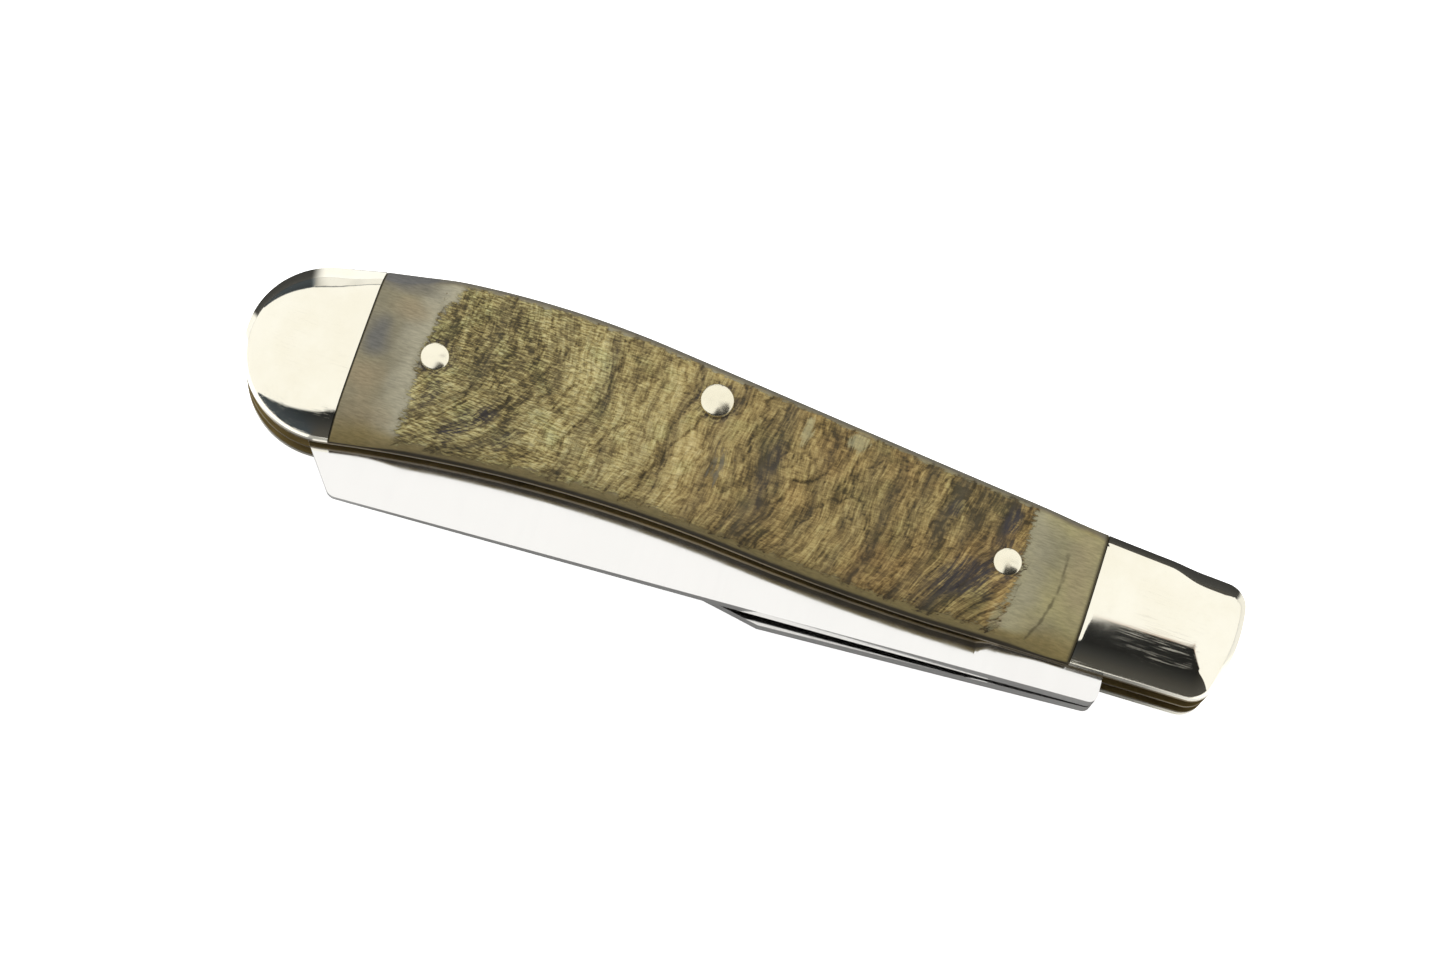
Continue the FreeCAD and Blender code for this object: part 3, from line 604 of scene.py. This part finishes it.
def bolster(node, seamX, keepLeft, rear):
    low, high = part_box(node)
    bm = bmesh.new()
    base = bm.faces.new([bm.verts.new((point.x, point.y, frontLow.z)) for point in outline])
    lifted = bmesh.ops.extrude_face_region(bm, geom=[base])["geom"]
    top = [face for face in lifted if isinstance(face, bmesh.types.BMFace)]
    bmesh.ops.translate(bm, vec=(0, 0, frontHigh.z - frontLow.z), verts=top[0].verts[:])
    bmesh.ops.recalc_face_normals(bm, faces=bm.faces)
    for row in range(bolsterRim["rows"]):
        bmesh.ops.inset_region(bm, faces=top, thickness=bolsterRim["rowWidth"], use_even_offset=True)
    top[0].material_index = 1  # marks the middle, which is cut into cells
    seam = bmesh.ops.bisect_plane(bm, geom=bm.verts[:] + bm.edges[:] + bm.faces[:], plane_co=(seamX, 0, 0),
                                  plane_no=(1, 0, 0), clear_outer=keepLeft, clear_inner=not keepLeft)
    seamEdges = [edge for edge in seam["geom_cut"] if isinstance(edge, bmesh.types.BMEdge)]
    bmesh.ops.holes_fill(bm, edges=seamEdges)
    for step in range(1, bolsterRim["seamSteps"] + 1):
        away = step / bolsterRim["seamSteps"] * bolsterRim["seamReach"]
        cutAcross(bm, bm.faces, (seamX - away if keepLeft else seamX + away, 0, 0), (1, 0, 0))
    for step in range(1, round((high.x - low.x) / bolsterRim["cell"])):
        cells = [face for face in bm.faces if face.material_index == 1]
        cutAcross(bm, cells, (low.x + step * bolsterRim["cell"], 0, 0), (1, 0, 0))
    for step in range(1, round((high.y - low.y) / bolsterRim["cell"])):
        cells = [face for face in bm.faces if face.material_index == 1]
        cutAcross(bm, cells, (0, low.y + step * bolsterRim["cell"], 0), (0, 1, 0))
    for face in bm.faces:
        face.material_index = 0
    left, right = low.x - bolsterRim["nearby"], high.x + bolsterRim["nearby"]
    sides = [pair for pair in zip(outline, outline[1:] + outline[:1]) if left < pair[0].x < right]
    roundOver(bm, sides, seamX, keepLeft)
    bmesh.ops.recalc_face_normals(bm, faces=bm.faces)
    if rear:
        mirrorToRear(bm)
    return addPiece(bm, node + "Polished", node, nickelSilver, 32.0)


for side in ("front", "rear"):
    bolster(side + "_round_bolster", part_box(side + "_round_bolster")[1].x, True, side == "rear")
    bolster(side + "_square_bolster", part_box(side + "_square_bolster")[0].x, False, side == "rear")
print("bolsters ready")


# Horn scales: a fine sheet laid over the scale, ground at the ends and edges, bark where the grinding stops

scaleShape = {
    "seeds": {"front": 11.0, "rear": 77.0},  # each side has its own bark
    "step": 0.21 * mm,
    "ramp": 9.0 * mm,  # the rise from a bolster to the full height
    "barkSunk": 0.10,  # mm
    "leftStop": 6.0, "rightStop": 6.9,  # mm of ground horn beside each bolster
    "leftBow": 0.020, "rightBow": (0.012, 0.035),  # how the grinding's end curves, above and below
    "endSlope": 0.16, "rimSlope": 0.34,  # how fast the grinding runs out
    # growth bands: place along the handle, width and strength
    "bands": [(-32.2, 0.8, 0.45), (-27.8, 1.3, 0.65), (-24.6, 0.9, 0.50), (-21.6, 0.8, 0.65),
              (-16.1, 0.9, 0.90), (-13.4, 0.7, 0.60), (-10.6, 0.6, 0.50), (-7.6, 0.8, 0.80),
              (-3.2, 1.0, 0.60), (2.3, 1.5, 1.00), (7.6, 0.9, 0.50), (12.8, 0.8, 0.55), (15.4, 0.9, 0.75),
              (18.2, 0.8, 0.65), (21.2, 0.8, 0.80), (24.2, 0.9, 0.70), (27.0, 1.2, 0.95)],
    # inky patches: middle, half length, half width, turn in degrees and strength
    "patches": [(-28.0, -3.6, 5.0, 1.2, 47, 1.00), (-32.6, -2.4, 2.9, 0.9, 62, 0.80),
                (-23.8, -4.0, 2.0, 0.7, 45, 0.70), (-31.4, 1.2, 1.2, 1.0, 80, 0.70),
                (24.2, -2.9, 5.4, 2.2, 27, 0.95), (27.0, 4.4, 2.0, 1.0, 80, 1.00),
                (21.2, 3.9, 1.4, 0.7, 80, 0.85), (27.2, 1.6, 1.8, 1.2, 20, 0.70),
                (2.0, 1.0, 5.5, 1.0, 84, 0.45), (-16.4, 6.0, 3.4, 0.5, 85, 0.45)],
    # edges of the flakes that stand proud
    "ledges": [[(-5.9, 4.4), (-7.0, 2.3), (-8.6, -0.1), (-8.7, -1.7), (-10.2, -4.8), (-11.4, -6.2)],
               [(-24.9, 0.2), (-25.7, -1.4), (-27.0, -2.7), (-28.8, -4.0), (-30.2, -5.1), (-30.9, -6.4)],
               [(-15.7, 8.5), (-15.7, 3.5), (-17.0, 1.0), (-18.5, -2.0), (-19.5, -4.0)],
               [(7.4, 3.0), (7.0, 1.9), (5.6, 1.3), (4.2, 1.2)]],
    "crack": [(33.3, 2.9), (33.5, 0.1), (33.2, -2.3), (32.6, -4.6), (31.7, -6.4)],
    # clouds in the horn: middle, half width and height, pale or brown above zero and grey below
    "clouds": [(-37.0, 5.7, 1.9, 1.2, 0.7), (-39.6, 1.7, 1.4, 2.4, -0.9), (-39.4, -2.4, 1.8, 2.0, 0.8),
               (-38.6, 8.6, 3.4, 1.4, -0.8), (-38.4, -6.2, 2.8, 1.6, 0.6), (34.8, 2.0, 1.5, 4.0, 0.5),
               (31.2, 1.5, 1.3, 4.0, -0.15), (33.2, -5.6, 2.4, 1.2, 0.35), (4.6, 6.4, 0.8, 1.9, 0.8),
               (9.7, 7.1, 1.2, 1.2, 1.0), (28.2, -5.7, 0.8, 1.5, 0.9), (-2.8, 0.0, 0.9, 2.6, -0.6)],
    "seamLine": (0.16, 0.30),  # mm of dirt in the joints at the left and right
    "topGrind": 0.50, "bellyGrind": 0.10,  # mm ground smooth along the back and the belly
    "pinDip": 0.20, "crackDeep": 0.03, "jointDeep": 0.10,  # mm
    # lightness along the handle
    "tones": [(-36.0, 0.12), (-27.0, 0.09), (-21.0, 0.12), (-12.0, 0.09), (-5.0, 0.05),
              (2.0, -0.08), (8.0, -0.05), (15.0, -0.09), (21.0, -0.14), (29.0, -0.17)],
    "rows": (4, 16, 68),  # up a wall, round an edge and over the top
}


# Bark and clouds at a place given in millimetres

def ridged(x, y, z, octaves):
    total, size = 0.0, 0.5
    for octave in range(octaves):
        total += size * (1.0 - 2.0 * abs(noise.noise((x, y, z + 7.3 * octave))))
        x, y, size = x * 2.1, y * 2.1, size * 0.5
    return total


def lineGap(points, x, y):
    # distance to a drawn line and the side of it
    best, side = 99.0, 1.0
    for (xa, ya), (xb, yb) in zip(points, points[1:]):
        runX, runY = xb - xa, yb - ya
        part = min(max(((x - xa) * runX + (y - ya) * runY) / (runX ** 2 + runY ** 2), 0.0), 1.0)
        gap = math.hypot(x - xa - part * runX, y - ya - part * runY)
        if gap < best:
            best, side = gap, math.copysign(1.0, (x - xa) * runY - (y - ya) * runX)
    return best, side


def bandingAt(flow, y, seed):
    banding = 0.0
    for centre, width, strength in scaleShape["bands"]:
        away = (flow - centre) / width
        if abs(away) < 3.0:
            patchy = 0.75 + 0.65 * noise.noise((centre, y * 0.20, seed + 9))
            banding = max(banding, strength * patchy * math.exp(-away * away))
    banding += 0.55 * max(0.0, noise.noise((flow * 0.75, y * 0.10, seed + 20)))
    return banding * (0.85 + 0.5 * noise.noise((flow * 1.6, y * 0.45, seed + 25)))


def stainAt(x, y, seed):
    stainAndPinShade = 0.0
    for middleX, middleY, halfLong, halfWide, turn, strength in scaleShape["patches"]:
        cosine, sine = math.cos(math.radians(turn)), math.sin(math.radians(turn))
        along = (x - middleX) * cosine + (y - middleY) * sine
        across = (y - middleY) * cosine - (x - middleX) * sine
        reach = math.hypot(along / halfLong, across / halfWide)
        reach += 0.5 * noise.noise((x * 0.5, y * 0.5, seed + 14))
        stainAndPinShade = max(stainAndPinShade, strength * smoothStep(1.25, 0.35, reach))
    return stainAndPinShade


def barkAt(x, y, seed, drawn):
    # gives height, banding, stain, the bark's tone with painted shade of its ridges and ledge steps, and the
    # place along the growth lines
    low = min(max((6.0 - y) / 13.0, 0.0), 1.2)
    sway = 2.6 + 6.0 * smoothStep(-16, -34, x) + 5.0 * smoothStep(12, 28, x)
    wander = 1.1 * noise.noise((x * 0.10, y * 0.13, seed)) + 0.5 * noise.noise((x * 0.35, y * 0.30, seed + 3))
    flow = x + sway * low * low + wander
    banding = bandingAt(flow, y, seed)
    stainAndPinShade = stainAt(x, y, seed) if drawn else 0.0
    coarse = ridged(flow * 0.46, y * 0.09, seed + 40, 2)
    fine = ridged(flow * 1.30, y * 0.24, seed + 50, 3)
    fibrous = smoothStep(-18, -27, x)  # the left end shows threads more than ridges
    coarse, fine = coarse * (1 - 0.3 * fibrous), fine * (1 - 0.55 * fibrous)
    grit = noise.noise((x * 2.2, y * 3.4, seed + 60))
    field = noise.noise((flow * 0.22, y * 0.09, seed + 70))
    field += 0.18 * noise.noise((flow * 0.9, y * 0.75, seed + 75))
    second = noise.noise((flow * 0.45, y * 0.14, seed + 80))
    second += 0.20 * noise.noise((flow * 1.3, y * 1.0, seed + 85))
    third = noise.noise((flow * 0.85, y * 0.20, seed + 90))
    third += 0.18 * noise.noise((flow * 2.0, y * 1.4, seed + 95))
    ledge = 0.5 * math.tanh(field / 0.05) + 0.4 * math.tanh(second / 0.06) + 0.3 * math.tanh(third / 0.08)
    fissure = max(math.exp(-(field / 0.026) ** 2), 0.8 * math.exp(-(second / 0.028) ** 2),
                  0.5 * math.exp(-(third / 0.040) ** 2))
    for points in scaleShape["ledges"] if drawn else []:
        gap, side = lineGap(points, x + 0.5 * noise.noise((x * 0.8, y * 0.8, 5)), y)
        fissure = max(fissure, math.exp(-(gap / 0.16) ** 2))
        ledge += 0.8 * side * math.exp(-gap / 0.9)
    # partly the bark's own tone, partly painted shade: ridges lighter, fissures darker, each ledge lighter on
    # one side and darker on the other
    reliefShade = 0.50 + 0.30 * coarse + 0.26 * fine + 0.04 * grit + 0.10 * ledge - 0.52 * fissure
    height = 0.16 * coarse + 0.12 * fine + 0.03 * grit + 0.08 * ledge
    height = height - 0.14 * fissure - 0.10 * banding - 0.05 * stainAndPinShade
    return height, min(banding, 1.0), stainAndPinShade, min(max(reliefShade, 0.0), 1.0), flow


def cloudAt(x, y):
    total = 0.0
    for middleX, middleY, halfWide, halfTall, strength in scaleShape["clouds"]:
        reach = math.hypot((x - middleX) / halfWide, (y - middleY) / halfTall)
        total += strength * smoothStep(1.6, 0.2, reach + 0.3 * noise.noise((x * 0.6, y * 0.6, 2.0)))
    return total


def crackAt(x, y):
    away = lineGap(scaleShape["crack"], x, y)[0]
    return 0.65 * smoothStep(0.20, 0.03, away + 0.15 * noise.noise((x * 1.7, y * 1.7, 1)))


# The sheet, in metres like the frame

wallRows, rimRows, topRows = scaleShape["rows"]
sheetRows = 2 * (rimRows + wallRows) + topRows


def hornColumns(left, right):
    count = round((right - left) / scaleShape["step"])
    step = (right - left) / count
    ends = [0.0, step / 3, 2 * step / 3]  # finer columns beside the joints
    places = [left + away for away in ends] + [left + step * place for place in range(1, count)]
    return places + [right - away for away in reversed(ends)]


def pinSpots(side):
    spots = []
    for pin in ("centre_pin", side + "_left_pin", side + "_right_pin"):
        low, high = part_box(pin)
        spots.append(((low.x + high.x) / 2, (low.y + high.y) / 2, (high.x - low.x) / 2))
    return spots


def plainPoint(x, row, inward, upper, top):
    # the sheet before the bark: y, z and how far it is turned down
    belly, back = heightOn(bellyEdge, x), heightOn(backEdge, x)
    rims = [rimAt(rim, x) for rim in (bellyRim, backRim)]
    acrossBelly, acrossBack = [radius * math.sin(steep) for radius, steep in rims]
    radius, steep = rims[1 if upper else 0]
    across = acrossBack if upper else acrossBelly
    angle = steep * (1 - min(max((inward - wallRows) / rimRows, 0.0), 1.0))
    gap = across - radius * math.sin(angle)
    if inward <= wallRows + rimRows:
        y = back - gap if upper else belly + gap
    else:
        part = (row - wallRows - rimRows) / topRows
        y = belly + acrossBelly + part * (back - belly - acrossBelly - acrossBack)
    z = top - crownDrop(x, y) - rimDrop(backRim if upper else bellyRim, x, gap)
    z = frontLow.z + z * min(inward / wallRows, 1.0)
    turned = smoothStep(0.25, 0.75, math.sin(angle)) if inward > wallRows else 2.0 - inward / wallRows
    return y, z, turned


def groundRoom(x, y, fromSeam, upper):
    # the grinding stops short of the middle and takes more off along the back than along the belly
    stop = scaleShape["leftStop"] + scaleShape["leftBow"] * max(y / mm - 1.0, 0.0) ** 2
    if x > 0:
        bow = scaleShape["rightBow"][0 if y > -1.0 * mm else 1]
        stop = scaleShape["rightStop"] + bow * (y / mm + 1.0) ** 2
    grind = scaleShape["topGrind" if upper else "bellyGrind"]
    fromEdge = min(y - heightOn(bellyEdge, x), heightOn(backEdge, x) - y)
    endRoom = scaleShape["endSlope"] * (fromSeam / mm - stop)
    rimRoom = scaleShape["rimSlope"] * (fromEdge / mm - grind)
    return endRoom, rimRoom


def hornScale(node, seed, rear):
    low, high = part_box(node)
    base, tall = frontLow.z, frontHigh.z - frontLow.z
    rise = high.z - low.z - tall
    places = hornColumns(low.x, high.x)
    columns = len(places) - 1
    pins = pinSpots(node.split("_")[0])
    bm = bmesh.new()
    bmesh.ops.create_grid(bm, x_segments=columns, y_segments=sheetRows, size=1.0)
    layers = [bm.verts.layers.float.new(name) for name in hornMarks]
    for vert in bm.verts:
        x = places[round((vert.co.x + 1) / 2 * columns)]
        row = round((vert.co.y + 1) / 2 * sheetRows)
        inward = min(row, sheetRows - row)  # rows in from the nearer edge
        upper = row > sheetRows / 2
        fromSeam = min(x - low.x, high.x - x)
        raised = smoothStep(0.0, 1.0, fromSeam / scaleShape["ramp"])
        y, z, turned = plainPoint(x, row, inward, upper, tall + rise * raised)
        height, banding, stainAndPinShade, reliefShade, flow = barkAt(x / mm, y / mm, seed, not rear)
        proud = height  # the dips at the pins don't move the edge of the bark
        for pinX, pinY, pinRadius in pins:
            away = math.hypot(x - pinX, y - pinY) - pinRadius
            height -= scaleShape["pinDip"] * smoothStep(0.8, 0.1, away / mm)
            # painted shade: a dark ring round each pin, where the horn dips to its head
            stainAndPinShade = max(stainAndPinShade, 0.75 * smoothStep(0.9, 0.1, away / mm))
        endRoom, rimRoom = groundRoom(x, y, fromSeam, upper)
        room = min(endRoom, rimRoom) - 0.6 * proud - 0.05
        cover = smoothStep(-0.16, 0.16, room) * smoothStep(wallRows, wallRows + 3, inward)
        pale = smoothStep(-0.50, -0.02, endRoom + 0.15 * noise.noise((x / mm * 0.5, y / mm * 0.5, seed)))
        pale *= smoothStep(-0.3, 0.3, rimRoom) * (1.0 if x < 0 else 0.5)
        z = min(z + cover * (height - scaleShape["barkSunk"]) * mm, base + high.z - low.z)
        line = 0.0 if rear else crackAt(x / mm, y / mm)
        z -= scaleShape["crackDeep"] * mm * line
        joint = scaleShape["seamLine"][0 if x < 0 else 1]
        joint = smoothStep(joint, 0.4 * joint, fromSeam / mm)
        z -= scaleShape["jointDeep"] * mm * joint if inward > wallRows else 0.0
        cloudsAndEdgeShade = 0.0 if rear else cloudAt(x / mm, y / mm)
        # painted shade: the rounded back edge turns grey, the more the further it turns down
        cloudsAndEdgeShade -= 0.8 * turned if upper else 0.0
        tone = heightOn(scaleShape["tones"], x / mm)
        values = (cover, banding, stainAndPinShade, reliefShade, flow, max(line, joint), pale, tone, turned, cloudsAndEdgeShade)
        for layer, value in zip(layers, values):
            vert[layer] = value
        vert.co = (x, y, z)
    for endX in (low.x, high.x):
        borders = [edge for edge in bm.edges if edge.is_boundary]
        ends = [edge for edge in borders if all(abs(vert.co.x - endX) < 1e-6 for vert in edge.verts)]
        bmesh.ops.contextual_create(bm, geom=ends)
    bmesh.ops.holes_fill(bm, edges=[edge for edge in bm.edges if edge.is_boundary])
    bmesh.ops.recalc_face_normals(bm, faces=bm.faces)
    if rear:
        mirrorToRear(bm)
    return addPiece(bm, node + "Horn", node, ramHorn, 55.0)


for side in ("front", "rear"):
    hornScale(side + "_scale", scaleShape["seeds"][side], side == "rear")
print("horn scales ready")


# Pins: turned shanks with peened heads

pinShape = {
    "pivotShank": 1.6 * mm, "springShank": 1.2 * mm, "scaleShank": 0.9 * mm,
    "head": 0.9 * mm, "dome": 0.18 * mm, "shoulder": 0.26 * mm, "dents": 0.08 * mm,
    "sunk": 0.30 * mm,  # the pins without heads end under the polished bolsters
    "domeLine": [(0.0, 0.0), (0.4, 0.12), (0.7, 0.42), (1.0, 1.0)],  # shares of the radius and the dome
    "steps": 48,
}


def pinEnd(spot, way, radius, shank, head, sunk):
    # outline of one end, from the axis out to the shank
    if not head:
        return [(0.0, spot + way * sunk), (shank, spot + way * sunk)]
    run = [(part * radius, spot + way * drop * pinShape["dome"]) for part, drop in pinShape["domeLine"]]
    return run + [(radius, spot + way * pinShape["head"]), (shank, spot + way * pinShape["head"])]


def pinPiece(node, shank, headed):
    low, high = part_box(node)
    middle = Vector(((low.x + high.x) / 2, (low.y + high.y) / 2, 0.0))
    radius = (high.x - low.x) / 2
    sunk = 0.0 if any(headed) else pinShape["sunk"]
    lower = pinEnd(low.z, 1, radius, shank, headed[0], sunk)
    upper = pinEnd(high.z, -1, radius, shank, headed[1], sunk)
    bm = bmesh.new()
    verts = [bm.verts.new(middle + Vector((out, 0.0, z))) for out, z in lower + upper[::-1]]
    lines = [bm.edges.new(pair) for pair in zip(verts, verts[1:])]
    bmesh.ops.spin(bm, geom=verts + lines, cent=middle, axis=(0, 0, 1), angle=2 * math.pi,
                   steps=pinShape["steps"], use_merge=True)
    bmesh.ops.remove_doubles(bm, verts=bm.verts, dist=0.001 * mm)
    bmesh.ops.recalc_face_normals(bm, faces=bm.faces)
    rims = []
    for spot, way, head in ((low.z, 1, headed[0]), (high.z, -1, headed[1])):
        level = spot + way * pinShape["dome"]
        for edge in bm.edges:
            if head and all(abs(vert.co.z - level) < 1e-6 for vert in edge.verts):
                rims.append(edge)
    if rims:
        bmesh.ops.bevel(bm, geom=rims, offset=pinShape["shoulder"], offset_type="OFFSET", segments=5,
                        profile=0.5, affect="EDGES", clamp_overlap=True, material=-1)
        for vert in bm.verts:
            depth = min(vert.co.z - low.z if headed[0] else 9.0, high.z - vert.co.z if headed[1] else 9.0)
            if depth < pinShape["dome"] + pinShape["shoulder"]:
                dent = noise.noise((vert.co.x / mm * 0.9, vert.co.y / mm * 0.9, 3.0)) - 0.5
                vert.co.z += pinShape["dents"] * dent * (1 if vert.co.z > middleZ else -1)
    return addPiece(bm, node + "Turned", node, pinMetal, 40.0)


pinPiece("pivot_pin", pinShape["pivotShank"], (False, False))
pinPiece("end_pin", pinShape["springShank"], (False, False))
pinPiece("centre_pin", pinShape["springShank"], (True, True))
for node in ("front_left_pin", "front_right_pin", "rear_left_pin", "rear_right_pin"):
    pinPiece(node, pinShape["scaleShank"], (node.startswith("rear"), node.startswith("front")))
print("pins ready")


# Floor, light and camera

floorShape = {
    "size": 3.0, "under": 0.02 * mm,
    "tones": (0.40, 0.035), "turnover": (-0.004, 0.012),  # darker behind the knife than in front
    # pale fans beyond the two ends: start, distance to full strength, strength and slant of the edge
    "leftFan": (-0.044, 0.010, 0.75, (0.38, 0.30)), "rightFan": (0.040, 0.012, 0.75, (1.3, 1.0)),
    # and behind the round end: strength and slant of the two edges
    "rearFan": (0.80, (-0.55, -0.39), (0.08, -0.02)),
}


def endFan(tree, axes, away, full, tone, slant):
    away = maths(tree, "MAXIMUM", away, 0.001)
    lean = maths(tree, "DIVIDE", axes["Y"], away)
    return times(tree, remap(tree, away, 0.004, full, 0.0, tone, smooth=True),
                 remap(tree, lean, *slant, smooth=True))


def mirroredFloor(tree, axes):
    dim = remap(tree, axes["Y"], *floorShape["turnover"], *floorShape["tones"], smooth=True)
    leftEnd, *leftFan = floorShape["leftFan"]
    left = endFan(tree, axes, maths(tree, "SUBTRACT", leftEnd, axes["X"]), *leftFan)
    rightEnd, *rightFan = floorShape["rightFan"]
    right = endFan(tree, axes, maths(tree, "SUBTRACT", axes["X"], rightEnd), *rightFan)
    tone, nearSlant, farSlant = floorShape["rearFan"]
    behind = maths(tree, "MAXIMUM", axes["Y"], 0.001)
    lean = maths(tree, "DIVIDE", maths(tree, "SUBTRACT", axes["X"], leftEnd), behind)
    rear = times(tree, remap(tree, lean, *nearSlant, 0.0, tone, smooth=True),
                 remap(tree, lean, *farSlant, smooth=True))
    rear = times(tree, rear, remap(tree, axes["Y"], 0.010, 0.020, smooth=True))
    return plus(tree, dim, maths(tree, "MAXIMUM", maths(tree, "MAXIMUM", left, right), rear))


def makeFloor():
    bm = bmesh.new()
    bmesh.ops.create_grid(bm, x_segments=2, y_segments=2, size=floorShape["size"])
    bmesh.ops.translate(bm, vec=(0, 0, cadBox[0].z - floorShape["under"]), verts=bm.verts)
    mesh = bpy.data.meshes.new("floor")
    bm.to_mesh(mesh)
    bm.free()
    material, tree, shader, place = newMaterial("paleFloor", Roughness=0.9)
    shader.inputs["Specular IOR Level"].default_value = 0.1
    shader.inputs["Emission Color"].default_value = (1, 1, 1, 1)
    seen = put(tree, "ShaderNodeLightPath").outputs["Is Camera Ray"]
    tint = remap(tree, noiseAt(tree, place, 3.0), 0.3, 0.7, 0.86, 0.89)
    axes = put(tree, "ShaderNodeSeparateXYZ", {0: place}).outputs
    # the polished metal mirrors a darker floor than the camera sees
    dim = mirroredFloor(tree, axes)
    dim = blendColour(tree, seen, grey(tree, dim), grey(tree, tint))
    tree.links.new(dim, shader.inputs["Base Color"])
    tree.links.new(times(tree, seen, 0.80), shader.inputs["Emission Strength"])
    mesh.materials.append(material)
    floor = bpy.data.objects.new("floor", mesh)
    scene.collection.objects.link(floor)


tent = {
    "bright": 1.06, "dark": 0.020,
    "step": (0.055, 0.085),  # where the softbox is cut back at the right
    "leftFront": (-0.97, 0.80), "rightFront": (0.29, -0.55), "cutFront": 0.16,  # edge lines: start and slope
    "leftBack": (1.50, -0.45), "rightBack": (5.0, 1.2),
    "frontSoft": (0.10, 0.020),
    "backBoard": (-0.47, -0.08), "boardFade": 0.08,
}


def edgeLine(tree, across, name):
    start, slope = tent[name]
    return plus(tree, times(tree, across, slope), start)


def makeTent():
    world = bpy.data.worlds.new("studioTent")
    scene.world = world
    world.use_nodes = True
    tree = world.node_tree
    tree.nodes.clear()
    toward = put(tree, "ShaderNodeTexCoord").outputs["Generated"]
    axes = put(tree, "ShaderNodeSeparateXYZ", {0: toward}).outputs
    up = maths(tree, "MAXIMUM", axes["Z"], 0.04)
    across = maths(tree, "DIVIDE", axes["X"], up)
    ahead = maths(tree, "DIVIDE", axes["Y"], up)
    # overhead softbox with slanted edges, cut back at the right
    cut = remap(tree, across, *tent["step"], smooth=True)
    rightFront = maths(tree, "MINIMUM", edgeLine(tree, across, "rightFront"), tent["cutFront"])
    edge = blendValue(tree, cut, edgeLine(tree, across, "leftFront"), rightFront)
    soft = blendValue(tree, cut, *tent["frontSoft"])
    over = maths(tree, "DIVIDE", maths(tree, "SUBTRACT", ahead, edge), soft)
    back = blendValue(tree, cut, edgeLine(tree, across, "leftBack"), edgeLine(tree, across, "rightBack"))
    beyond = maths(tree, "SUBTRACT", ahead, back)
    ceiling = times(tree, remap(tree, over, -1.0, 1.0, smooth=True),
                    remap(tree, beyond, 0.15, -0.10, smooth=True))
    # a white board behind the round end
    lean = maths(tree, "DIVIDE", axes["X"], maths(tree, "MAXIMUM", axes["Y"], 0.001))
    (left, right), fade = tent["backBoard"], tent["boardFade"]
    board = times(tree, remap(tree, lean, left - fade, left + fade, smooth=True),
                  remap(tree, lean, right + fade, right - fade, smooth=True))
    board = times(tree, board, remap(tree, axes["Y"], 0.3, 0.4, 0.0, 0.9))
    board = times(tree, board, remap(tree, beyond, 0.08, 0.28, smooth=True))
    glow = maths(tree, "MAXIMUM", ceiling, board)
    level = remap(tree, glow, 0.0, 1.0, tent["dark"], tent["bright"])
    dusk = remap(tree, axes["Z"], 0.75, 0.1, 0.0, 0.06)  # the dark parts lighten toward the table
    dusk = maths(tree, "MAXIMUM", dusk, remap(tree, axes["Y"], 0.2, 0.8, 0.0, 0.04))
    level = plus(tree, level, times(tree, dusk, remap(tree, glow, 1.0, 0.0)))
    seen = put(tree, "ShaderNodeLightPath").outputs["Is Camera Ray"]
    level = blendValue(tree, seen, level, 0.95)
    shade = blendColour(tree, remap(tree, across, -0.4, 0.4), (0.76, 0.90, 1.06, 1), (1.0, 0.96, 0.88, 1))
    fringe = blendColour(tree, cut, (1.0, 0.99, 0.965, 1), (1.0, 0.66, 0.50, 1))
    tint = blendColour(tree, remap(tree, glow, 0.0, 0.35), shade, fringe)
    tint = blendColour(tree, remap(tree, glow, 0.35, 0.95), tint, (1.0, 0.99, 0.965, 1))
    shine = put(tree, "ShaderNodeBackground", {"Color": tint, "Strength": level})
    surface = put(tree, "ShaderNodeOutputWorld")
    tree.links.new(shine.outputs[0], surface.inputs["Surface"])


def addLamp(name, place, size, power):
    data = bpy.data.lights.new(name, "AREA")
    data.shape = "DISK"
    data.size = size
    data.energy = power
    lamp = bpy.data.objects.new(name, data)
    scene.collection.objects.link(lamp)
    lamp.location = place
    lamp.rotation_euler = (-Vector(place)).to_track_quat("-Z", "Y").to_euler()
    lamp.visible_glossy = False


photoCamera = {
    "place": Vector((3.51, -103.80, 427.2)) * mm,
    "right": Vector((0.94877, 0.30947, 0.06384)),
    "up": Vector((-0.31570, 0.91972, 0.23335)),
    "focalPixels": 4244.0,
    "imageWidth": 1440.0,
}


def makeCamera():
    data = bpy.data.cameras.new("photoView")
    data.sensor_fit = "HORIZONTAL"
    data.sensor_width = 36.0
    data.lens = photoCamera["focalPixels"] / photoCamera["imageWidth"] * data.sensor_width
    data.clip_start = 0.01
    camera = bpy.data.objects.new("photoView", data)
    scene.collection.objects.link(camera)
    right, up = photoCamera["right"].normalized(), photoCamera["up"].normalized()
    back = right.cross(up).normalized()
    turn = Matrix((right, back.cross(right), back)).transposed().to_4x4()
    camera.matrix_world = Matrix.Translation(photoCamera["place"]) @ turn
    scene.camera = camera


makeFloor()
makeTent()
addLamp("keyLight", (-0.35, 0.30, 0.55), size=0.45, power=2.8)
addLamp("fillLight", (0.35, -0.30, 0.60), size=0.60, power=1.0)
makeCamera()
scene.view_settings.view_transform = "Standard"
print("floor, light and camera ready")
